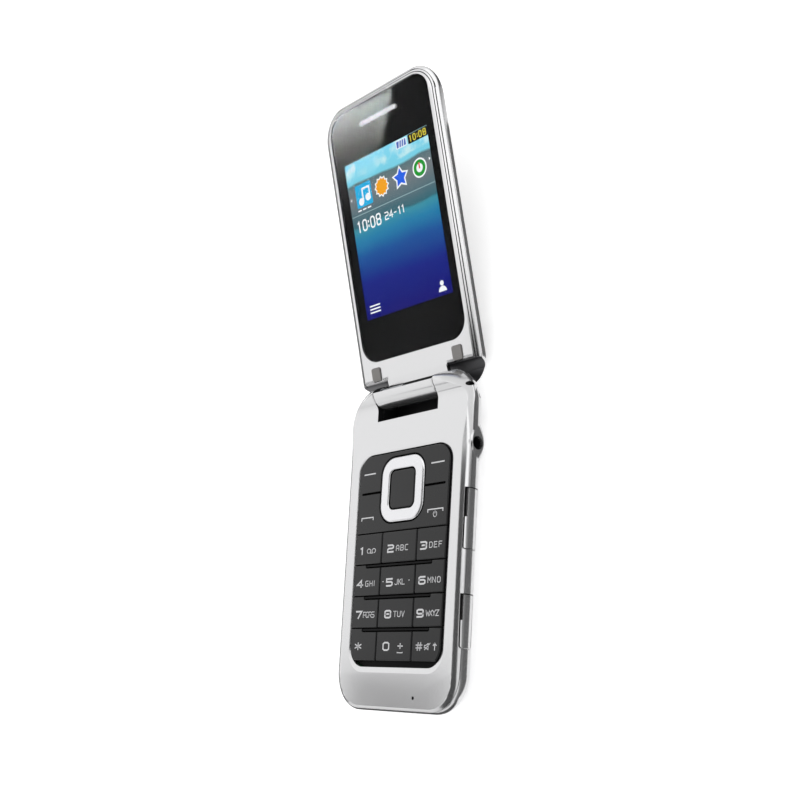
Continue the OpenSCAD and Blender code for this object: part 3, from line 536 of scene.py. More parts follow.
def base_cavity():
    levels = [FLOOR_T, 2, 3, 4.5, 6, BACK_ROUND_H, BASE_T - FACE_T]
    return loft([(z, outline(HALF_W - BASE_TAPER - side_in(z) - WALL, HALF_W - side_in(z) - WALL,
                             FREE_Y + side_in(z, END_ROUND_W) + WALL, CAVITY_END, BASE_CORNER - WALL, 2, 8))
                 for z in levels])


def cover_pocket(y, length):
    low, high = COVER_LOW - POCKET_GAP, COVER_HIGH + POCKET_GAP
    foot = y - length / 2
    return [box((COVER_INNER - POCKET_GAP, foot + PIVOT_R, low),
                (HALF_W + 5, y + length / 2 + POCKET_GAP, high)),
            disc(PIVOT_X, foot + PIVOT_R, low, high, PIVOT_R + POCKET_GAP),
            box((PIVOT_X, foot - POCKET_GAP, low), (HALF_W + 5, foot + PIVOT_R + 0.01, high))]


STRAP_AT, STRAP_TURN = (HALF_W - 4.8, HINGE_Y - 1.8, 5), 45


def strap_tunnel():
    """Bore for a strap, level and slanting through the right shoulder's corner."""
    run = prism(circle(0, 0, STRAP_R, 32), -15, 15)
    turn = Matrix.Translation(STRAP_AT) @ Matrix.Rotation(radians(STRAP_TURN), 4, "Z")
    return turned(run, turn @ Matrix.Rotation(radians(90), 4, "X"))


STRAP_MOUTH = Vector((23.3, HINGE_Y - 3.3, 8.6))
STRAP_FOOT = Vector((20.6, HINGE_Y - 4.9, 5.0))


def strap_mouth():
    """Upper opening of the strap loop, at the right shoulder's corner."""
    run = STRAP_MOUTH - STRAP_FOOT
    bore = prism([(x * 0.8, y * 1.25) for x, y in circle(0, 0, 1.0, 28)], 0, run.length + 4)
    return turned(bore, Matrix.Translation(STRAP_FOOT) @ run.to_track_quat("Z", "Y").to_matrix().to_4x4())


USB_W, USB_HGT, SLOT_W, SLOT_HGT = 7.5, 2.5, 11.6, 1.2
BOARD_TOP, BOARD_T = 7.3, 0.8
USB_Z = BOARD_TOP - BOARD_T / 2 - USB_HGT / 2
SLOT_Z = BOARD_TOP - BOARD_T - 0.05 - SLOT_HGT


def side_hole(y, w, z, h):
    """Hole in the right wall for a socket of the main board."""
    return box((HALF_W - 4, y - w / 2 - FIT, z - FIT), (HALF_W + 1, y + w / 2 + FIT, z + h + FIT))


def side_holes():
    return [side_hole(USB_Y, USB_W, USB_Z, USB_HGT), side_hole(CARD_Y, SLOT_W, SLOT_Z, SLOT_HGT),
            rod(HALF_W - JACK_LEN - 1, JACK_MOUTH, JACK_Y, JACK_Z, JACK_BODY + 0.03),
            rod(JACK_MOUTH - 1, HALF_W + 3, JACK_Y, JACK_Z, JACK_R + 0.06), strap_tunnel(), strap_mouth()]


SEAT_R, SEAT_DEEP = 1.77, 5.05
SCREW_HEAD_R, SCREW_R, SCREW_TOP = 1.6, 0.85, 8.9


def hinge_seats():
    ends = [sorted((s * (WELL_HALF - 1), s * (WELL_HALF + SEAT_DEEP))) for s in SIDES]
    return [rod(x0, x1, HINGE_Y, HINGE_Z, SEAT_R) for x0, x1 in ends]


def screw_holes():
    return [disc(s * SCREW_X, SCREW_Y, low, high, r)
            for s in SIDES for low, high, r in ((-1, SCREW_SEAT, SCREW_HEAD_R), (0, SCREW_TOP, SCREW_R))]


BOSS_R, BOSS_MORE_Y, BOSS_MORE_Z, BOSS_OUT, BOSS_DROP, BOSS_STEPS = 2.1, 5.4, 1.2, 2.42, 0.9, 14


def jack_boss():
    """Smooth swelling of the side wall round the headset socket."""
    def oval(x, swell, low):
        wide, high = BOSS_R + BOSS_MORE_Y * swell, BOSS_R + BOSS_MORE_Z * swell
        return (x, [(JACK_Y + swell + wide * cos(a), JACK_Z - low + high * sin(a))
                    for a in [2 * pi * k / 64 for k in range(64)]])
    levels = [oval(HALF_W - 5, 1.0, BOSS_DROP)]
    for t in [i / BOSS_STEPS for i in range(BOSS_STEPS + 1)]:
        out = BOSS_OUT * sin(radians(90 * t)) ** 0.9
        levels.append(oval(HALF_W - 2.2 + out, (1 - t) ** 0.9, BOSS_DROP * (1 - t)))
    return loft(levels, along_x)


def keypad_outline(d=0.0, low=0.0):
    """Outline of the keypad window, moved in by d, its lower end moved out by low as well."""
    r = max(KEYPAD_CORNER - d, 1)
    return outline((KEYPAD_W - KEYPAD_TAPER) / 2 - d, KEYPAD_W / 2 - d, KP_LOW + d - low, KP_TOP - d, r, r)


LIP_W, LIP_H, LIP_LOW, LIP_STEPS = 0.6, 0.22, 1.0, 8


def window_cut():
    """Keypad window with a round lip, wider at its lower end."""
    levels = [(BASE_T - 4, keypad_outline()), (BASE_T - LIP_H, keypad_outline())]
    for out in [i / LIP_STEPS for i in range(1, LIP_STEPS + 1)]:
        rise = (LIP_H + 0.012) * (1 - (1 - out) ** 1.25)
        levels.append((BASE_T - LIP_H + rise, keypad_outline(-LIP_W * out, LIP_LOW * out)))
    levels.append((BASE_T + 3, keypad_outline(-LIP_W, LIP_LOW)))
    return loft(levels)


def lining_seat():
    return slab(WELL_HALF + 0.05, CAVITY_END - 0.5, WELL_Y + 0.1, FLOOR_T + 0.1, BASE_T - FACE_T)


def shell_cuts():
    return [base_cavity(), *well_cuts(), *side_holes(), *cover_pocket(USB_Y, USB_LEN),
            *cover_pocket(CARD_Y, CARD_LEN), *hinge_seats(), *screw_holes(), lining_seat()]


CHIN_Y, CHIN_TILT = KP_LOW - 1.5, 2.6


def chin_wedge():
    """The face falls away a little from the keypad to the microphone end."""
    return turned(slab(40, -40, 0, 0, 20), leaning((0, CHIN_Y, BASE_T), CHIN_TILT))


def recoat(obj, material, test, lid=False):
    """Gives another material to the faces whose centre, in millimetres, and normal pass the test."""
    back = LID_PLACE.inverted() if lid else Matrix.Identity(4)
    turn = back.to_3x3()
    obj.data.materials.append(material)
    slot = len(obj.data.materials) - 1
    for face in obj.data.polygons:
        if test(back @ (face.center / MM), turn @ face.normal):
            face.material_index = slot


def well_wall(at, normal):
    """Side walls of the hinge well, blackened as painted shade, as black as its lining."""
    return abs(abs(at.x) - WELL_HALF) < NEAR and abs(normal.x) > 0.9 and at.y > WELL_Y


def pocket_wall(at, normal):
    """Walls of the pockets behind the two side covers, blackened as painted shade."""
    deep = COVER_INNER - POCKET_GAP
    if at.x < deep - 0.1 or not COVER_LOW - 0.5 < at.z < COVER_HIGH + 0.5:
        return False
    near = [abs(at.y - y) < length / 2 + 0.5 for y, length in ((USB_Y, USB_LEN), (CARD_Y, CARD_LEN))]
    square = max(abs(normal.y), abs(normal.z)) > 0.995 or (abs(normal.x) > 0.995 and at.x < deep + 0.1)
    return any(near) and square


def strap_wall(at, normal):
    run = (STRAP_MOUTH - STRAP_FOOT).normalized()
    away = at - STRAP_FOOT
    return (away - run * away.dot(run)).length < 1.3 and abs(normal.dot(run)) < 0.1


def mic_wall(at, normal):
    return hypot(at.x - MIC_X, at.y - MIC_Y) < MIC_R + 0.1 and abs(normal.z) < 0.3


# Painted shade: the walls of the microphone hole, the hinge well, the cover pockets and the strap bore are
# blackened.
def shell_painted_shade(at, normal):
    return any(wall(at, normal) for wall in (mic_wall, well_wall, pocket_wall, strap_wall))


def silver(obj, name, body, node):
    return piece(obj, name, body, SILVER, [node])


def volume_box(x0, x1, gap=0.0):
    """Block with the outline of the volume key, made larger by gap."""
    return box((x0, VOLUME_Y - VOLUME_LEN / 2 - gap, VOLUME_Z - VOLUME_H / 2 - gap),
               (x1, VOLUME_Y + VOLUME_LEN / 2 + gap, VOLUME_Z + VOLUME_H / 2 + gap))


def build_battery_door():
    panel = common(base_solid(), slab(PANEL_HALF, FREE_Y - 5, PANEL_END, -1, PANEL_HIGH - FIT))
    hollow = [(0.6 - BAY_HALF, FLOOR_T), (BAY_HALF - 0.6, FLOOR_T), (BAY_HALF, FLOOR_T + 0.3),
              (BAY_HALF, PANEL_HIGH + 1), (-BAY_HALF, PANEL_HIGH + 1), (-BAY_HALF, FLOOR_T + 0.3)]
    cut(panel, prism(hollow, -PANEL_END - 1, -FREE_Y - WALL - 4, lambda x, z, y: (x, -y, z)))
    silver(panel, "battery_door", "battery_cover", "battery_cover")


def build_base():
    front = common(join(base_solid(), jack_boss()), seam_block(SEAM_GAP / 2))
    cut(front, *shell_cuts(), *shoulder_chamfers(), window_cut(),
        disc(MIC_X, MIC_Y, BASE_T - 3, BASE_T + 2, MIC_R), chin_wedge())
    # Painted shade: the shell's hole, well, pocket and strap bore walls are blackened.
    recoat(silver(front, "front_shell", "keypad_half", "base_front_shell"), BLACK, shell_painted_shade)

    rear = cut(join(base_solid(), jack_boss()), seam_block(-SEAM_GAP / 2))
    cut(rear, *shell_cuts(), window_cut(), volume_box(-HALF_W - 1, VOLUME_IN + 1, 0.15),
        slab(PANEL_HALF + FIT, FREE_Y - 5, PANEL_END + FIT, -1, PANEL_HIGH),
        prism(centred_pts(GRILLE_W, GRILLE_H, GRILLE_Y, 1.95, 0.05), -1, FLOOR_T + 1))
    # Painted shade: the shell's hole, well, pocket and strap bore walls are blackened.
    recoat(silver(rear, "rear_shell", "keypad_half", "base_rear_shell"), BLACK, shell_painted_shade)
    build_battery_door()


def side_cover(y, length):
    """Side cover on its round pivot, with a step over its upper half for a fingernail."""
    foot = y - length / 2
    block = box((COVER_INNER, foot + PIVOT_R, COVER_LOW), (HALF_W + 2, y + length / 2, COVER_HIGH))
    cut(block, box((COVER_INNER - 1, y + length * 0.02, COVER_HIGH - COVER_STEP),
                   (HALF_W + 3, y + length, COVER_HIGH + 1)))
    join(block, disc(PIVOT_X, foot + PIVOT_R, COVER_LOW, COVER_HIGH, PIVOT_R))
    return common(base_solid(), block)


def build_side_fittings():
    silver(side_cover(USB_Y, USB_LEN), "connector_door", "usb_cover", "usb_cover")
    silver(side_cover(CARD_Y, CARD_LEN), "card_door", "card_cover", "card_cover")
    key = common(base_solid(), volume_box(-HALF_W - 1, VOLUME_IN))
    join(key, box((VOLUME_IN - 0.3, VOLUME_Y - VOLUME_LEN / 2 - 0.6, VOLUME_Z + 0.1),
                  (VOLUME_IN, VOLUME_Y + VOLUME_LEN / 2 + 0.6, VOLUME_Z + VOLUME_H / 2)))
    silver(key, "volume_rocker", "volume_key", "volume_key")


# ================= keys =================
KEY_EDGE_W, KEY_EDGE_H = 0.34, 0.26
RIM_GAP = 0.5
SKIRT_LOW = 0.16
KEY_CORNER = 0.35
RING_PROUD = 0.25


def skirt(at, normal):
    """Flanks of the bright ring, from a little under its top."""
    return abs(normal.z) < 0.5 and at.z < KEY_TOP - SKIRT_LOW


def edge_levels(shape, low, top, wide, high, steps, over=0.0):
    """Levels from low to the top, or over above it. Their outline shape(d) moves in by wide near the top."""
    return [(low, shape(0.0)), (top - high, shape(0.0))] + [
        (top - high + (high + over) * sin(a), shape(wide * (1 - cos(a))))
        for a in [radians(90 * i / steps) for i in range(1, steps + 1)]]


def rounded(shape, low=KEY_LOW, top=KEY_TOP, wide=KEY_EDGE_W, high=KEY_EDGE_H, steps=5):
    """Solid from low to top that is rounded over at the top edge."""
    return loft(edge_levels(shape, low, top, wide, high, steps))


def flared(shape, top=KEY_TOP, wide=0.2, high=0.18):
    """Cutter that opens out at the top of the keys."""
    return loft(edge_levels(shape, 0, top, -wide, high, 4, 0.01) + [(top + 3, shape(-wide))])


def block_shape(x0, x1, y0, y1):
    return lambda d: plate_pts(x1 - x0 - 2 * d, y0 + d, y1 - d, KEY_CORNER, (x0 + x1) / 2, 4)


def ring_shape(w, h, r, gap=0.0):
    """Outline about the ring's centre, made larger by gap, for rounded and flared."""
    w, h, r = w + 2 * gap, h + 2 * gap, r + gap
    return lambda d: plate_pts(w - 2 * d, RING_Y - h / 2 + d, RING_Y + h / 2 - d, max(r - d, 0.4), 0, 12)


def key_cap(x0, x1, y0, y1):
    window = rounded(lambda d: keypad_outline(RIM_GAP + d))
    half = KEY_GAP / 2
    return common(window, rounded(block_shape(x0 + half, x1 - half, y0 + half, y1 - half)))


COLUMNS = [(-KEYPAD_W, -COL_W / 2), (-COL_W / 2, COL_W / 2), (COL_W / 2, KEYPAD_W)]
NUMBER_KEYS = ["1", "2", "3", "4", "5", "6", "7", "8", "9", "star", "0", "hash"]


def number_key(column, row):
    top = ROWS_TOP - row * ROW_PITCH
    x0, x1 = COLUMNS[column]
    key = key_cap(x0, x1, top - ROW_PITCH, top)

    def rib_slot(d):
        low = top - RIB_T - 2.5 * KEY_GAP
        return plate_pts(RIB_LEN + 2 * KEY_GAP - 2 * d, low + d, top + 1.2, 0.45 - min(d, 0.3), 0, 5)
    return cut(key, flared(rib_slot)) if row > 0 else key


SPLIT_Y = RING_Y - 0.2
SPLIT_REACH = 17.2
SLOT_HALF = 0.3
HAIRLINE = 0.015


def side_key(s, upper):
    """Soft, call or end key: s is its side, upper or lower one. The four meet on hairlines, and a slot runs
    along the split beside the ring."""
    key = key_cap(-KEYPAD_W, KEYPAD_W, ROWS_TOP, KP_TOP + 1)
    low, high = (SPLIT_Y + HAIRLINE, HINGE_Y) if upper else (0, SPLIT_Y - HAIRLINE)
    near, far = sorted((s * HAIRLINE, s * KEYPAD_W))
    common(key, box((near, low, 0), (far, high, 20)))
    cut(key, flared(ring_shape(RING_W, RING_H, RING_CORNER, RING_GAP)))

    def split_slot(d):
        return centred_pts(2 * SPLIT_REACH, 2 * SLOT_HALF, SPLIT_Y, SLOT_HALF, -d, n=4)
    return cut(key, flared(split_slot, wide=0.12, high=0.12))


# ================= legends: a plain squared stroke alphabet =================
STROKES = {
    "0": "1,0 3,0 4,1 4,5 3,6 1,6 0,5 0,1 1,0",
    "1": "0.9,5.2 2.2,6 2.2,0",
    "2": "0,6 3.2,6 4,5.2 4,3.8 3.2,3.1 0.8,3.1 0,2.3 0,0 4,0",
    "3": "0,6 3.2,6 4,5.2 4,3.9 3.2,3.1 1,3.1 / 3.2,3.1 4,2.3 4,0.8 3.2,0 0,0",
    "4": "3,0 3,6 0,2 4.2,2",
    "5": "4,6 0,6 0,3.4 3.2,3.4 4,2.6 4,0.8 3.2,0 0,0",
    "6": "4,6 0.8,6 0,5.2 0,0.8 0.8,0 3.2,0 4,0.8 4,2.6 3.2,3.4 0,3.4",
    "7": "0,6 4,6 1.6,0",
    "8": "0.8,3.1 0,2.3 0,0.8 0.8,0 3.2,0 4,0.8 4,2.3 3.2,3.1 0.8,3.1 / "
         "0.8,3.1 0,3.9 0,5.2 0.8,6 3.2,6 4,5.2 4,3.9 3.2,3.1",
    "9": "0,0 3.2,0 4,0.8 4,5.2 3.2,6 0.8,6 0,5.2 0,3.4 0.8,2.6 4,2.6",
    "A": "0,0 0,4.6 1.2,6 2.8,6 4,4.6 4,0 / 0,2.4 4,2.4",
    "B": "0,3.1 3.1,3.1 4,2.3 4,0.8 3.2,0 0,0 0,6 3,6 3.8,5.2 3.8,3.9 3.1,3.1",
    "C": "4,6 0.9,6 0,5.1 0,0.9 0.9,0 4,0",
    "D": "0,0 2.8,0 4,1.2 4,4.8 2.8,6 0,6 0,0",
    "E": "4,6 0,6 0,0 4,0 / 0,3.1 3.4,3.1",
    "F": "4,6 0,6 0,0 / 0,3.1 3.4,3.1",
    "G": "4,6 0.9,6 0,5.1 0,0.9 0.9,0 4,0 4,3 2.2,3",
    "H": "0,0 0,6 / 4,0 4,6 / 0,3 4,3",
    "I": "0.3,0 0.3,6",
    "J": "3.6,6 3.6,0.9 2.7,0 0.9,0 0,0.9",
    "K": "0,0 0,6 / 3.9,6 0,2.8 / 1.3,3.7 4,0",
    "L": "0,6 0,0 3.6,0",
    "M": "0,0 0,6 2.2,2.4 4.4,6 4.4,0",
    "N": "0,0 0,6 4,0 4,6",
    "P": "0,0 0,6 3.1,6 4,5.1 4,3.6 3.1,2.7 0,2.7",
    "S": "4,6 0.8,6 0,5.2 0,3.9 0.8,3.1 3.2,3.1 4,2.3 4,0.8 3.2,0 0,0",
    "T": "0,6 4,6 / 2,6 2,0",
    "U": "0,6 0,0.9 0.9,0 3.1,0 4,0.9 4,6",
    "V": "0,6 2,0 4,6",
    "W": "0,6 1.1,0 2.3,4 3.5,0 4.6,6",
    "X": "0,0 4,6 / 0,6 4,0",
    "Y": "0,6 2,3 4,6 / 2,3 2,0",
    "Z": "0,6 4,6 0,0 4,0",
    "+": "2,0.9 2,5.1 / 0,3 4,3",
    "*": "2,0.4 2,5.6 / 0,1.6 4,4.4 / 0,4.4 4,1.6",
    "#": "1,0 1.5,6 / 2.7,0 3.2,6 / 0,1.9 4,1.9 / 0,4.1 4.2,4.1",
    ":": "0.3,1.3 0.3,2.1 / 0.3,3.9 0.3,4.7",
    "space": "0,1 0,0 4,0 4,1",
    "mute": "0,2 1.2,2 3,0.4 3,5.6 1.2,4 0,4 0,2 / 0.2,0.2 4.4,5.8",
    "up": "2,0 2,5.6 / 0.5,3.8 2,5.8 3.5,3.8",
    "dash": "0,3 4,3",
    "call": "0,0 0,4 20,4 20,0",
    "power": "3,3.4 3,6 / 1.6,5.2 0.6,3.2 1.4,1 3,0.2 4.6,1 5.4,3.2 4.4,5.2",
}
STROKES["O"] = STROKES["0"]
STROKES["Q"] = STROKES["0"] + " / 2.6,1.4 4.3,-0.4"
STROKES["R"] = STROKES["P"] + " / 2.2,2.7 4,0"
GLYPHS = {name: [[tuple(float(v) for v in point.split(",")) for point in line.split()]
                 for line in text.split("/")] for name, text in STROKES.items()}
GLYPHS["tape"] = [[(1.6 * cos(a) + x, 2.9 + 1.9 * sin(a)) for a in [2 * pi * k / 14 for k in range(15)]]
                  for x in (1.6, 6.0)] + [[(1.6, 1.0), (6.0, 1.0)]]


def ribbon(points, half, z0, z1, verts, faces):
    """Adds a flat band of half width half along points, between heights z0 and z1."""
    closed = hypot(points[0][0] - points[-1][0], points[0][1] - points[-1][1]) < 1e-6
    pts = [Vector(p) for p in (points[:-1] if closed else points)]
    n = len(pts)
    start = len(verts)
    for i, p in enumerate(pts):
        before = pts[i] - pts[i - 1] if (i > 0 or closed) else pts[1] - pts[0]
        after = pts[(i + 1) % n] - pts[i] if (i < n - 1 or closed) else before
        before, after = before.normalized(), after.normalized()
        tangent = (before + after).normalized() if (before + after).length > 1e-6 else after
        side = Vector((-tangent.y, tangent.x))
        reach = half / max(side.dot(Vector((-after.y, after.x))), 0.45)
        push = Vector((0, 0))
        if not closed and i == 0:
            push = -after * half * 0.6
        if not closed and i == n - 1:
            push = after * half * 0.6
        for q in (p + side * reach + push, p - side * reach + push):
            verts += [(q.x, q.y, z1), (q.x, q.y, z0)]
    count = n if closed else n - 1
    for i in range(count):
        a, b = start + 4 * i, start + 4 * ((i + 1) % n)
        faces += [(a, a + 2, b + 2, b), (a + 1, b + 1, b + 3, a + 3), (a, b, b + 1, a + 1),
                  (a + 2, a + 3, b + 3, b + 2)]
    if not closed:
        e = start + 4 * (n - 1)
        faces += [(start, start + 1, start + 3, start + 2), (e, e + 2, e + 3, e + 1)]


def strokes(marks, z0, z1):
    """One mesh of marks: (glyph, x of its left end, y of its foot, width, height, stroke width)."""
    verts, faces = [], []
    for glyph, x, y, w, h, stroke in marks:
        for line in GLYPHS[glyph]:
            ribbon([(x + px * w / 4, y + py * h / 6) for px, py in line], stroke / 2, z0, z1, verts, faces)
    return solid("strokes", verts, faces)


def word(text, x, y, w, h, stroke, step):
    return [(c, x + i * step, y, w, h, stroke) for i, c in enumerate(text)]


DIGIT_W, DIGIT_H, DIGIT_STROKE = 2.3, 1.85, 0.46
LETTER_W, LETTER_H, LETTER_STROKE = 1.1, 1.45, 0.2
ROW_MARKS = [-3.2, -12.55, -21.2, -29.8]


def mark(glyph, x, row, w, h, stroke=0.22, dy=0.0):
    """One sign on a key of the row, its middle dy above the row's."""
    return (glyph, x, ROW_MARKS[row] - h / 2 + dy, w, h, stroke)


def digit(glyph, x, row, w=DIGIT_W):
    return mark(glyph, x, row, w, DIGIT_H, DIGIT_STROKE)


def letters(text, x0, x1, row):
    step = (x1 - x0 - LETTER_W) / (len(text) - 1)
    return word(text, x0, ROW_MARKS[row] - LETTER_H / 2, LETTER_W, LETTER_H, LETTER_STROKE, step)


LEGENDS = {
    "1": [digit("1", -16.5, 0, 1.9), mark("tape", -13.3, 0, 1.9, 1.9, dy=-0.1)],
    "2": [digit("2", -4.5, 0), *letters("ABC", -1.0, 3.7, 0)],
    "3": [digit("3", 8.75, 0), *letters("DEF", 12.2, 16.9, 0)],
    "4": [digit("4", -16.7, 1), *letters("GHI", -13.1, -8.4, 1)],
    "5": [digit("5", -4.2, 1), *letters("JKL", -0.8, 3.2, 1),
          *[mark("dash", x, 1, 0.35, 1, dy=0.3) for x in (-5.85, 4.7)]],
    "6": [digit("6", 8.8, 1), *letters("MNO", 12.2, 16.9, 1)],
    "7": [digit("7", -16.3, 2), *letters("PQRS", -13.2, -8.6, 2)],
    "8": [digit("8", -4.1, 2), *letters("TUV", -0.6, 3.7, 2)],
    "9": [digit("9", 8.7, 2), *letters("WXYZ", 12.1, 16.9, 2)],
    "star": [mark("*", -15.9, 3, 2.6, 2.2, 0.3)],
    "0": [mark("0", -4.1, 3, 2.3, 2.0, 0.42), mark("+", 1.8, 3, 1.9, 1.9, 0.3, 0.1),
          mark("space", 1.7, 3, 2.0, 0.9, dy=-1.2)],
    "hash": [mark("#", 8.9, 3, 2.2, 2.0, 0.28), mark("mute", 12.1, 3, 1.9, 1.8, 0.2),
             mark("up", 15.2, 3, 1.5, 1.8, 0.28)],
}
SIDE_LEGENDS = {
    "soft_key_left": [("dash", -16.6, 18.2, 4.8, 2.0, 0.38)],
    "soft_key_right": [("dash", 11.5, 18.35, 4.9, 2.0, 0.38)],
    "call_key": [("call", -16.6, 5.6, 1.0, 1.1, 0.32)],
    "end_key": [("call", 10.9, 5.7, 1.16, 1.1, 0.32), ("power", 12.85, 4.2, 1.2, 1.75, 0.18)],
}
LEGEND_RISE = 0.02


def black_key(obj, body, marks=()):
    """Cap of a black key and, where it has marks, its legend."""
    piece(obj, body + "_cap", body, KEYS, [body])
    if marks:
        piece(strokes(marks, KEY_TOP - 0.05, KEY_TOP + LEGEND_RISE), body + "_legend", body, LEGEND,
              sharp=20, weighted=False)


def build_keys():
    for i, label in enumerate(NUMBER_KEYS):
        black_key(number_key(i % 3, i // 3), "key_" + label, LEGENDS[label])
    for body, s, upper in (("soft_key_left", -1, True), ("soft_key_right", 1, True),
                           ("call_key", -1, False), ("end_key", 1, False)):
        black_key(side_key(s, upper), body, SIDE_LEGENDS[body])
    top = KEY_TOP + RING_PROUD
    ring = cut(rounded(ring_shape(RING_W, RING_H, RING_CORNER), KEY_LOW, top, 0.9, 0.42, 8),
               flared(ring_shape(SELECT_W, SELECT_H, SELECT_CORNER, SELECT_GAP), top, 0.5, 0.3))
    recoat(piece(ring, "nav_ring_cap", "nav_ring", RING, ["nav_ring"]), BLACK, skirt)
    select = rounded(ring_shape(SELECT_W, SELECT_H, SELECT_CORNER), steps=6, wide=0.5, high=0.3)
    black_key(select, "select_key")


# ================= lid, in its own axes =================
def lid_in(z):
    """How far in the lid's side is at height z: a soft edge at its face, a long round to its back."""
    if z > LID_FACE - LID_EDGE_H:
        return LID_EDGE_W * ((z - LID_FACE + LID_EDGE_H) / LID_EDGE_H) ** 2
    return inset(LID_FACE - LID_EDGE_H - z, LID_ROUND_H, LID_ROUND_W)


TAIL_DROP, TAIL_ROUND_W = 2.3, 4.6


def tail_in(z):
    """The same for the lid's end behind the hinge."""
    if z > LID_FACE - LID_EDGE_H:
        return 0.0
    return inset(LID_FACE - LID_EDGE_H - TAIL_DROP - z, LID_ROUND_H - TAIL_DROP, TAIL_ROUND_W)


def lid_outline(z, d=0.0):
    wide = LID_HALF - lid_in(z) - d
    return outline(wide, wide, -LID_TAIL + tail_in(z) + d, LID_REACH - lid_in(z) - d,
                   max(LID_CORNER - d - 1, 2), max(LID_CORNER - d, 2), 16)


LID_LEVELS = ([LID_BACK + LID_ROUND_H * (1 - cos(radians(6.0 * i))) for i in range(15)]
              + [LID_FACE - LID_EDGE_H * (1 - i / 8) for i in range(9)])


def lid_solid():
    return loft([(z, lid_outline(z)) for z in LID_LEVELS])


def scoops():
    """Room for the shoulders in the lid's lower corners."""
    slope = [(0, 5), (-9, 5), (-9, SCOOP_FLOOR), (1.2, SCOOP_FLOOR), (3.7, -3.5)]
    cutters = []
    for s in SIDES:
        x0 = WELL_HALF - 0.2 if s > 0 else -LID_HALF - 5
        x1 = x0 + LID_HALF + 5 - WELL_HALF + 0.2
        cutters += [rod(x0, x1, 0, 0, SCOOP_R, 72), prism(slope, x0, x1, along_x)]
    return cutters


FLAT_Y, FLAT_TILT = 1.37, 7.8
# The slot behind the barrel has its floor blackened as a painted shadow line.
NECK_SLOT, NECK_SLOT_END = 0.4, FLAT_Y + 0.75


def barrel_flat():
    return turned(slab(BARREL_LEN, 0, 20, 0, 20), leaning((0, FLAT_Y, LID_FACE), FLAT_TILT))


def lid_cavity():
    def ring(z):
        wide = LID_HALF - lid_in(z) - WALL
        return (z, outline(wide, wide, NECK_Y + 1.4, LID_REACH - lid_in(z) - WALL, 2, LID_CORNER - WALL, 8))
    return loft([ring(z) for z in (LID_BACK + LID_SKIN, LID_BACK + 2, LID_BACK + 3.5, LID_FACE - PLATE_T)])


def inner_outline(d):
    w = LID_HALF - LID_RIM - d
    return outline(w, w, -LID_TAIL + 1, LID_REACH - LID_RIM - d, 2, LID_CORNER - LID_RIM - d, 16)


def glass_outline(d):
    return centred_pts(GLASS_W, GLASS_H, GLASS_Y, GLASS_CORNER, d, n=14)


def ear_outline(d):
    return centred_pts(EAR_W, EAR_H, EAR_Y, EAR_H / 2 - 0.01, d, n=8)


def pad_outline(s, d):
    return centred_pts(PAD_W, PAD_H, PAD_Y, PAD_CORNER, d, s * PAD_X, 6)


GROOVE_DEEP, GROOVE_OUTER, GROOVE_INNER = 0.62, 0.82, 1.1


def rim_groove():
    """Fine groove round the lid's rim, a ring between two outlines."""
    z = LID_FACE - LID_EDGE_H
    ring = prism(lid_outline(z, GROOVE_OUTER), LID_FACE - GROOVE_DEEP, LID_FACE + 2)
    return cut(ring, prism(lid_outline(z, GROOVE_INNER), LID_FACE - 1, LID_FACE + 3))


def lid_gap(at, normal):
    """Walls and floors of the fine gaps in the lid's face, the barrel's ends and the slot behind it,
    blackened as painted shade.
    """
    deep = LID_FACE - at.z
    wall = abs(normal.z) < NEAR and deep < 1.2
    floor = normal.z > 0.9 and min(abs(deep - GROOVE_DEEP), abs(deep - PLATE_T - 0.02)) < 0.01
    return wall or floor or (abs(deep - NECK_SLOT) < NEAR and at.y < NECK_SLOT_END)


def scoop_rounds():
    """Round edge between the lid's face and the hollows in its lower corners."""
    a, b, c = (SCOOP_R, LID_FACE), (SCOOP_R - 0.75, LID_FACE), (SCOOP_R - 1.5, LID_FACE - 1.2)
    curve = [tuple((1 - t) ** 2 * a[k] + 2 * t * (1 - t) * b[k] + t * t * c[k] for k in (0, 1))
             for t in [i / 12 for i in range(13)]]
    profile = [*curve, (SCOOP_R - 1.5, 5), (SCOOP_R, 5)]
    return [prism(profile, x, x + LID_HALF + 5, along_x)
            for x in (WELL_HALF - 0.2, 0.2 - WELL_HALF - LID_HALF - 5)]


def scoop_wall(at, normal):
    """Hollows in the lid's lower corners, darkened as painted shade."""
    if abs(at.x) < WELL_HALF - 0.3 or at.y > SCOOP_R + 0.1:
        return False
    hollow = abs(hypot(at.y, at.z) - SCOOP_R) < 0.1 and at.z < LID_FACE - 1.6
    floor = abs(at.z - SCOOP_FLOOR) < NEAR and at.y < 1.3
    slope = normal.z > 0.5 and at.y < 3.7 and at.z < LID_FACE - 0.3
    return hollow or floor or slope


# Painted shade in steps on the round edge above those hollows, darker with depth: material, and the depths
# below the lid's face it lies between.
SCOOP_PAINTED_SHADES = [(PAINTED_SHADE_LIGHT, 0.28, 0.6), (PAINTED_SHADE_MIDDLE, 0.6, 0.95), (PAINTED_SHADE, 0.95, 1.65)]


# Test for one step of painted shade on the round edge above a hollow.
def scoop_painted_shade(high, low):
    def test(at, normal):
        turned_in = abs(normal.x) < 0.1 and normal.y < -0.12 and 3.4 < at.y < SCOOP_R
        return turned_in and abs(at.x) > WELL_HALF - 0.3 and high < LID_FACE - at.z <= low
    return test


def paint_lid_shade(obj):
    """Paints shade: blackens the fine gaps and darkens the hollows and the steps of their round edge."""
    recoat(obj, BLACK, lid_gap, True)
    recoat(obj, PAINTED_SHADE, scoop_wall, True)
    for material, high, low in SCOOP_PAINTED_SHADES:
        recoat(obj, material, scoop_painted_shade(high, low), True)


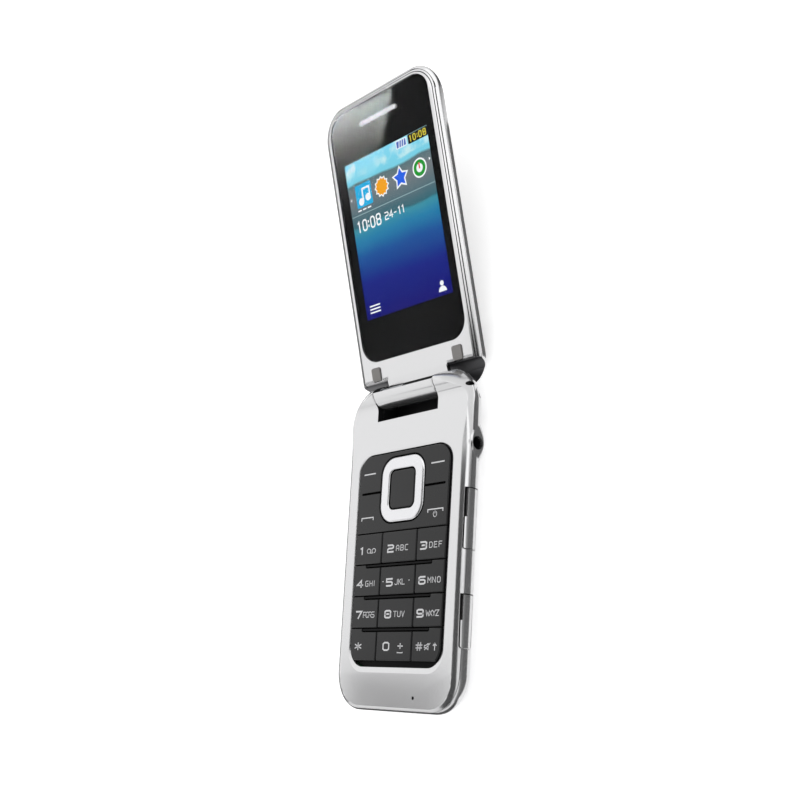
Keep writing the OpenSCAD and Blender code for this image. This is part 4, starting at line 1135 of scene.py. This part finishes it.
def build_lid_case():
    outer = lid_solid()
    cut(outer, *scoops(), lid_cavity(), prism(inner_outline(-0.16), LID_FACE - PLATE_T - 0.02, LID_FACE + 1),
        slab(BARREL_HALF + 0.1, -LID_TAIL - 1, NECK_Y + 0.1, SCOOP_FLOOR, LID_FACE + 1),
        disc(0, LENS_Y, LID_BACK - 1, LID_BACK + LID_SKIN + 1, LENS_R + 0.05), rim_groove(), *scoop_rounds())
    # Painted shade in the lid's fine gaps and corner hollows.
    paint_lid_shade(silver(outer, "lid_case", "lid", "lid_outer_shell"))


def hinge_neck():
    """The hinge barrel with its chamfered ends, and the neck that joins it to the lid."""
    ends = [(BARREL_HALF, BARREL_R - BARREL_EDGE), (BARREL_HALF - BARREL_EDGE, BARREL_R)]
    ends = [(-x, r) for x, r in ends] + ends[::-1]
    barrel = loft([(x, circle(0, 0, r, 96)) for x, r in ends], along_x)
    join(barrel, slab(BARREL_HALF, -LID_TAIL + 0.7, NECK_Y, SCOOP_FLOOR + 0.1, LID_FACE))
    return cut(barrel, barrel_flat())


def build_lid_frame():
    inner = common(lid_solid(), prism(inner_outline(0.1), LID_FACE - PLATE_T, LID_FACE + 0.5))
    cut(inner, *scoops(), slab(LID_HALF, -9, 0.6, LID_FACE - 3, LID_FACE + 1))
    join(inner, hinge_neck())
    cut(inner, slab(BARREL_HALF + 0.05, FLAT_Y - 0.01, NECK_SLOT_END, LID_FACE - NECK_SLOT, LID_FACE + 1),
        *scoop_rounds())
    cut(inner, prism(glass_outline(0.07), LID_FACE - GLASS_T - 0.05, LID_FACE + 1),
        plate(SCREEN_W + 2.6, SCREEN_LOW - 2.2, SCREEN_HIGH + 1.6, 1, LID_FACE - 3, LID_FACE + 1),
        prism(ear_outline(0.4), LID_FACE - 3, LID_FACE),
        rod(BARREL_HALF - 4, BARREL_HALF + 1, 0, 0, 1.2), rod(-BARREL_HALF - 1, -BARREL_HALF + 9, 0, 0, 1.45),
        slab(BARREL_HALF + 1, -20, -BARREL_R * 0.55, LID_BACK, -BARREL_R * 0.95),
        *[prism(pad_outline(s, 0.16), LID_FACE - 0.7, LID_FACE + 1) for s in SIDES])
    # Painted shade in the lid's fine gaps and corner hollows.
    paint_lid_shade(silver(inner, "lid_frame", "lid", "lid_inner_shell"))


GLASS_GAP, GLASS_EDGE_W, GLASS_EDGE_H = 0.02, 0.2, 0.16


def build_glass():
    low = LID_FACE - GLASS_T
    glass = rounded(lambda d: glass_outline(-GLASS_GAP - d), low, LID_FACE, GLASS_EDGE_W, GLASS_EDGE_H, 3)
    cut(glass, prism(ear_outline(0.05), LID_FACE - 3, LID_FACE + 1))
    piece(glass, "window_glass", "lid", GLASS, ["display_glass"], sharp=40)
    border = prism(glass_outline(-0.05), low - 0.045, low - 0.005)
    cut(border, slab(SCREEN_W / 2, SCREEN_LOW, SCREEN_HIGH, LID_BACK, 0),
        prism(ear_outline(0.05), LID_FACE - 3, LID_FACE + 1))
    piece(border, "window_border", "lid", MASK)


MESH_PITCH, MESH_ROW, MESH_R, MESH_REACH = 0.62, 0.22, 0.17, 11


def build_earpiece():
    strip = prism(ear_outline(-0.02), LID_FACE - GLASS_T - 0.4, LID_FACE - 0.1)
    cut(strip, *[disc(i * MESH_PITCH, EAR_Y + s * MESH_ROW, LID_FACE - 3, LID_FACE, MESH_R, 10)
                 for i in range(-MESH_REACH, MESH_REACH + 1) for s in SIDES])
    piece(strip, "earpiece_strip", "lid", GRILLE, ["earpiece_grille"])


PAD_RISE, PAD_SINK = 0.42, 0.68


def build_stop_pads():
    """The two rubber pads, with crests that fall away towards the hinge."""
    crest = LID_FACE + PAD_RISE
    for name, s in (("stop_pad_left", -1), ("stop_pad_right", 1)):
        pad = prism(pad_outline(s, 0.0), LID_FACE - PAD_SINK, crest)
        wedge = [(0.3, crest + 0.5), (-2.4, crest + 0.5), (-2.4, LID_FACE - 0.06), (-0.2, LID_FACE + 0.27),
                 (0.3, crest + 0.01)]
        cut(pad, prism([(SCOOP_R + y, z) for y, z in wedge], s * PAD_X - 4, s * PAD_X + 4, along_x))
        piece(pad, name, "lid", PAD, ["stop_pads"] if s < 0 else ())


# ================= display picture =================
PICTURE_Z = LID_FACE - GLASS_T - 0.1
LAYER_T = 0.012
PICTURE_STOPS = [(0.03, (4, 4, 110)), (0.25, (2, 26, 128)), (0.42, (12, 78, 150)), (0.535, (30, 124, 166)),
                 (0.60, (56, 142, 160)), (0.62, (52, 100, 112)), (0.80, (112, 120, 124)),
                 (0.875, (86, 112, 118)), (0.89, (118, 206, 226)), (1.0, (128, 214, 238))]


def glow(name, paint):
    """Material that gives light of the colour that paint makes in its nodes."""
    material = bpy.data.materials.new(name)
    tree = new_tree(material)
    feed(tree, tree.nodes["Principled BSDF"], {
        "Emission Color": paint(tree), "Emission Strength": 1.0, "Base Color": (0.004, 0.004, 0.005, 1),
        "Specular IOR Level": 0.05, "Roughness": 0.5})
    return material


def backdrop(tree):
    """Pale sky with clouds over a band of grey teal, then blue that deepens downwards."""
    height = add(tree, "Math", {0: noise(tree, 90.0, 3.0), 1: 0.05, 2: along_box(tree, "Y")},
                 operation="MULTIPLY_ADD")
    cloud = add(tree, "MapRange", {"Value": noise(tree, 260.0, 4.0), "From Min": 0.46, "From Max": 0.66,
                                   "To Max": 0.8})
    above = add(tree, "MapRange", {"Value": height, "From Min": 0.91, "From Max": 0.925})
    amount = add(tree, "Math", {0: cloud, 1: above}, operation="MULTIPLY")
    bands = ramp(tree, height, [(at, linear(*color)) for at, color in PICTURE_STOPS])
    return add(tree, "Mix", {"Factor": amount, "A": bands, "B": linear(206, 238, 240)}, "Result",
               data_type="RGBA")


def layer(name, shape, color, height=0):
    """A lit shape of the picture in an sRGB colour, height steps above it, with a slight unevenness."""
    z0 = PICTURE_Z + 0.02 + height * LAYER_T
    material = glow(name + "_light", lambda tree: speckle(tree, noise(tree, 900.0), linear(*color), 0.03))
    piece(shape(z0, z0 + LAYER_T * 0.8), name, "lid", material, weighted=False)


# Shapes of the picture, about its centre. Each gives a function that makes the solid between two heights.
def signs(*rows):
    shifted = [(glyph, x, SCREEN_Y + y, w, h, stroke) for glyph, x, y, w, h, stroke in rows]
    return lambda z0, z1: strokes(shifted, z0, z1)


def bar(x0, x1, y0, y1, r=0.3):
    return lambda z0, z1: plate(x1 - x0, SCREEN_Y + y0, SCREEN_Y + y1, r, z0, z1, (x0 + x1) / 2, 5)


def polygon(points):
    return lambda z0, z1: prism([(x, SCREEN_Y + y) for x, y in points], z0, z1)


def dot(x, y, r, hole=0.0):
    def make(z0, z1):
        obj = disc(x, SCREEN_Y + y, z0, z1, r, 24)
        return cut(obj, disc(x, SCREEN_Y + y, z0 - 1, z1 + 1, hole, 20)) if hole else obj
    return make


def star(x, y, r, k, inner):
    """Star of k points, of radius r and inner times r."""
    reaches = [(i, r if i % 2 == 0 else r * inner) for i in range(2 * k)]
    return polygon([(x + reach * sin(pi * i / k), y + reach * cos(pi * i / k)) for i, reach in reaches[::-1]])


WHITE, YELLOW, CELL_WHITE = (240, 244, 246), (236, 220, 60), (232, 240, 246)
DIAL_X, ICON_Y, STATUS_Y = 13.1, 13.4, 22.0


def build_status():
    """Signal, battery and clock in the sky band."""
    layer("screen_rule", bar(-18.3, 18.3, 7.75, 7.95, 0.05), (150, 182, 186))
    layer("screen_clock_box", bar(10.2, 18.3, 21.6, 24.4), (6, 6, 8))
    layer("screen_clock", signs(*word("10", 10.8, 22.15, 1.0, 1.7, 0.26, 1.6),
                                (":", 14.1, 22.15, 1.0, 1.7, 0.26),
                                *word("08", 14.85, 22.15, 1.0, 1.7, 0.26, 1.75)), YELLOW, 1)
    layer("screen_cell", bar(5.0, 9.6, 21.7, 24.2, 0.4), CELL_WHITE)
    layer("screen_cell_inside", bar(5.35, 9.25, STATUS_Y, 23.9, 0.2), (76, 108, 186), 1)
    for i in range(3):
        x = 6.1 + i * 0.95
        slant = [(x, STATUS_Y), (x + 0.32, STATUS_Y), (x + 0.72, 23.9), (x + 0.4, 23.9)]
        layer(f"screen_cell_bar_{i}", polygon(slant), CELL_WHITE, 2)
    for i in range(4):
        step = bar(-17.8 + i * 1.1, -17.1 + i * 1.1, 21.7, 22.3 + i * 0.55, 0.05)
        layer(f"screen_signal_{i}", step, (236, 244, 248))


def build_icons():
    layer("screen_arrow_left", polygon([(-17.9, 13.2), (-17.2, 12.7), (-17.2, 13.7)]), WHITE)
    layer("screen_arrow_right", polygon([(17.2, 14.4), (17.9, 14.9), (17.2, 15.4)]), WHITE)
    layer("icon_tile", bar(-15.2, -8.0, 9.9, 17.0, 0.4), (32, 170, 222))
    layer("icon_note_heads", dot(-13.0, 11.6, 1.15), WHITE, 1)
    layer("icon_note_head", dot(-9.9, 12.3, 1.15), WHITE, 1)
    layer("icon_note_stem", signs(("call", -12.1, 11.6, 0.62, 5.7, 0.55)), WHITE, 2)
    layer("icon_sun_edge", star(-3.4, ICON_Y, 3.3, 12, 0.8), WHITE)
    layer("icon_sun", star(-3.4, ICON_Y, 2.75, 12, 0.8), (240, 160, 24), 1)
    layer("icon_star_edge", star(4.9, ICON_Y, 3.7, 5, 0.56), WHITE)
    layer("icon_star", star(4.9, ICON_Y, 2.9, 5, 0.52), (36, 96, 226), 1)
    layer("icon_leaf_edge", dot(DIAL_X, ICON_Y + 0.2, 2.9), WHITE)
    layer("icon_leaf", dot(DIAL_X, ICON_Y + 0.2, 2.4, 1.3), (30, 150, 48), 1)
    layer("icon_leaf_hand", bar(12.85, 13.35, ICON_Y, 15.2, 0.1), (222, 60, 50), 2)


def build_display():
    panel = cut(plate(SCREEN_W + 2, SCREEN_LOW - 2, SCREEN_HIGH + 1.4, 0.6, PICTURE_Z - 2.3, PICTURE_Z),
                plate(SCREEN_W, SCREEN_LOW, SCREEN_HIGH, 0.05, PICTURE_Z - 0.05, PICTURE_Z + 1))
    piece(panel, "display_frame", "lid", BLACK, ["lcd_module"])
    picture = plate(SCREEN_W, SCREEN_LOW, SCREEN_HIGH, 0.05, PICTURE_Z - 0.04, PICTURE_Z + 0.01)
    piece(picture, "display_picture", "lid", glow("picture", backdrop), weighted=False)
    build_status()
    build_icons()
    layer("screen_dots", signs(*[("dash", -15.0 + 2.2 * i, 8.6, 1.3, 1.0, 0.45) for i in range(3)]), WHITE)
    layer("screen_time", signs(*word("10", -16.6, 2.7, 1.7, 3.2, 0.5, 2.6), (":", -11.5, 2.7, 1.0, 3.2, 0.5),
                               *word("08", -10.4, 2.7, 1.7, 3.2, 0.5, 2.7)), WHITE)
    layer("screen_date", signs(*word("24", -3.9, 3.2, 1.4, 2.1, 0.36, 1.9),
                               ("dash", 0.1, 3.2, 0.9, 2.1, 0.34),
                               *word("11", 1.7, 3.2, 1.4, 2.1, 0.36, 1.6)), WHITE)
    layer("soft_left", signs(*[("dash", -16.4, y, 4.4, 0.6, 0.42) for y in (-22.9, -21.9, -20.9)]), WHITE)
    layer("soft_right_head", dot(14.6, -20.9, 0.75), WHITE)
    layer("soft_right_body", polygon(arc(14.6, -23.3, 1.6, 0, 180, 12)), WHITE)


# ================= small parts =================
def build_socket():
    socket = cut(rod(HALF_W - JACK_LEN, JACK_MOUTH - 0.02, JACK_Y, JACK_Z, JACK_BODY),
                 rod(HALF_W - JACK_LEN + 1, HALF_W + 1, JACK_Y, JACK_Z, JACK_R))
    piece(socket, "headset_socket", "keypad_half", BLACK, ["audio_jack"])


def build_mic_mesh():
    mesh = disc(MIC_X, MIC_Y, BASE_T - 1.15, BASE_T - 0.45, MIC_R - 0.03, 20)
    piece(mesh, "mic_mesh", "keypad_half", RUBBER)


def build_rear_lens():
    rings = [(0.6, 1.5), (0.18, 1.9), (0.18, LENS_R - 0.2), (0.35, LENS_R), (LID_SKIN - 0.05, LENS_R)]
    lens = loft([(LID_BACK + high, circle(0, LENS_Y, r)) for high, r in rings])
    piece(lens, "rear_lens", "lid", LENS, ["camera_lens"])


# ================= stage and light =================
WORLD_FILL = 0.62
FLOOR_LIFT = 0.52
FLOOR_Z = cad_box[0][2] - 0.00005
CARD_LOW = 0.0005
GLARE_STOPS = [(0, 0), (0.2, 13), (0.37, 50), (0.46, 130), (0.53, 240), (0.65, 210), (1, 165)]


def stage_plane(name, corners, material):
    obj = solid(name, corners, [(0, 1, 2, 3)])
    obj.data.materials.append(material)
    return obj


def level(x0, x1, y0, y1, z):
    """Corners of a level rectangle, in metres."""
    return [(x0, y0, z), (x1, y0, z), (x1, y1, z), (x0, y1, z)]


def upright(x, y0, y1, z0, z1):
    """Corners of an upright rectangle that runs along Y, in metres."""
    return [(x, y0, z0), (x, y1, z0), (x, y1, z1), (x, y0, z1)]


def seen_rays(tree):
    """1 for camera, glossy and transmission rays, else 0."""
    camera, glossy, through = [add(tree, "LightPath", {}, f"Is {kind} Ray")
                               for kind in ("Camera", "Glossy", "Transmission")]
    both = add(tree, "Math", {0: camera, 1: glossy}, operation="ADD")
    return add(tree, "Math", {0: both, 1: through}, operation="ADD", use_clamp=True)


def make_world():
    world = bpy.data.worlds.new("studio")
    bpy.context.scene.world = world
    tree = new_tree(world)
    strength = add(tree, "MapRange", {"Value": seen_rays(tree), "To Min": WORLD_FILL, "To Max": 1.0})
    feed(tree, tree.nodes["Background"], {"Color": (1, 1, 1, 1), "Strength": strength})


def make_floor():
    material = bpy.data.materials.new("floor")
    tree = new_tree(material)
    lift = add(tree, "Math", {0: seen_rays(tree), 1: FLOOR_LIFT}, operation="MULTIPLY")
    feed(tree, tree.nodes["Principled BSDF"], {
        "Base Color": (0.86, 0.86, 0.86, 1), "Roughness": 0.6, "Specular IOR Level": 0.2,
        "Emission Color": (1, 1, 1, 1), "Emission Strength": lift})
    stage_plane("floor", level(-6, 6, -6, 6, FLOOR_Z), material)


def area_light(name, at, target, size, watts):
    """Square soft light that shiny surfaces don't mirror."""
    data = bpy.data.lights.new(name, "AREA")
    data.shape = "RECTANGLE"
    data.size = data.size_y = size
    data.energy = watts
    light = bpy.data.objects.new(name, data)
    bpy.context.scene.collection.objects.link(light)
    light.location = at
    light.rotation_euler = (Vector(target) - Vector(at)).to_track_quat("-Z", "Y").to_euler()
    light.visible_glossy = False


def card_material(name, stops, axis, clear):
    """Card whose strength follows stops (position, strength) along an axis of its box. Where clear is true it
    adds light and hides nothing, else it hides what is behind as far as each stop's third number says."""
    material = bpy.data.materials.new(name)
    tree = new_tree(material)
    tree.nodes.clear()
    place = along_box(tree, axis)
    peak = max(stop[1] for stop in stops)

    def follow(index, scale):
        return ramp(tree, place, [(stop[0], (stop[index] / scale,) * 3 + (1,)) for stop in stops])
    strength = add(tree, "Math", {0: follow(1, peak), 1: peak}, operation="MULTIPLY")
    light = add(tree, "Emission", {"Strength": strength})
    through = add(tree, "BsdfTransparent", {})
    if clear:
        total = add(tree, "AddShader", {0: through, 1: light})
    else:
        total = add(tree, "MixShader", {0: follow(2, 1.0), 1: through, 2: light})
    feed(tree, tree.nodes.new("ShaderNodeOutputMaterial"), {"Surface": total})
    return material


def card(name, corners, stops, axis, clear=False):
    """Studio card that only shiny surfaces see."""
    panel = stage_plane(name, corners, card_material(name, stops, axis, clear))
    panel.visible_camera = False
    panel.visible_diffuse = False
    panel.visible_shadow = False
    panel.visible_transmission = False
    return panel


def make_lights():
    area_light("key_light", (0.1, 0.2, 1.3), (0, 0.03, 0), 2.4, 9.0)
    area_light("fill_light", (0.7, -0.5, 0.8), (0, 0, 0), 0.9, 2.0)
    card("softbox_left", upright(-0.35, -0.8, 0.9, 0.1, 0.9),
         [(0.0, 0.8, 1), (0.3, 1.1, 1), (0.45, 1.2, 1), (1.0, 1.25, 1)], "Y")
    card("flag_left", upright(-0.35, -0.17, 0.9, 0, 0.1), [(0, 0.15, 1), (0.6, 0.15, 1), (1, 0.6, 1)], "Z")
    card("flag_free_end", level(-0.104, -0.048, -0.07, -0.024, 0.08),
         [(0.0, 0.3, 0.9), (0.5, 0.3, 0.82), (0.8, 0.35, 0.35), (1.0, 0.35, 0.0)], "Y")
    card("flag_below", level(-0.2, 0.027, -0.3, -0.05, CARD_LOW), [(0.0, 0.1, 1), (1.0, 0.05, 1)], "Y")
    card("flag_over_base", level(-0.034, 0.06, -0.3, 0.046, 0.1), [(0.0, 0.02, 1), (1.0, 0.02, 1)], "X")
    card("flag_right", upright(0.13, -0.3, 0.046, 0, 0.055), [(0.0, 0.2, 1), (1.0, 0.3, 1)], "Z")
    card("flag_low", level(0.027, 0.13, -0.3, 0.046, CARD_LOW), [(0.0, 0.12, 1), (1.0, 0.2, 1)], "X")
    card("softbox_top", level(-0.1, 0.5, 0.05, 0.5, 0.35), [(0.0, 1.6, 1), (1.0, 1.6, 1)], "X")
    card("bounce_low", level(-0.1, 0.3, 0.062, 0.35, CARD_LOW),
         [(0.0, 1.5, 1), (0.19, 1.5, 1), (0.27, 0.7, 1), (0.31, 0.06, 1), (1.0, 0.05, 1)], "Y")
    under_lid = [(-0.05, 0.05, 0.0008), (0.031, 0.05, 0.0008), (0.045, 0.13, 0.0008), (-0.05, 0.13, 0.0008)]
    card("flag_under_lid", under_lid, [(0.0, 0.12, 1), (1.0, 0.12, 1)], "X")

    slanted = [(-0.33, 0.13, 0.352), (-0.33, 0.13, 0.2), (-0.33, 0.26, 0.2), (-0.33, 0.26, 0.462)]
    glare = card("glass_softbox", slanted, GLARE_STOPS, "Y", clear=True)
    only_glass = bpy.data.collections.new("glare_receivers")
    only_glass.objects.link(bpy.data.objects["window_glass"])
    glare.light_linking.receiver_collection = only_glass


build_base()
build_side_fittings()
build_keys()
build_lid_case()
build_lid_frame()
build_glass()
build_earpiece()
build_stop_pads()
build_display()
build_socket()
build_mic_mesh()
build_rear_lens()
make_world()
make_floor()
make_lights()
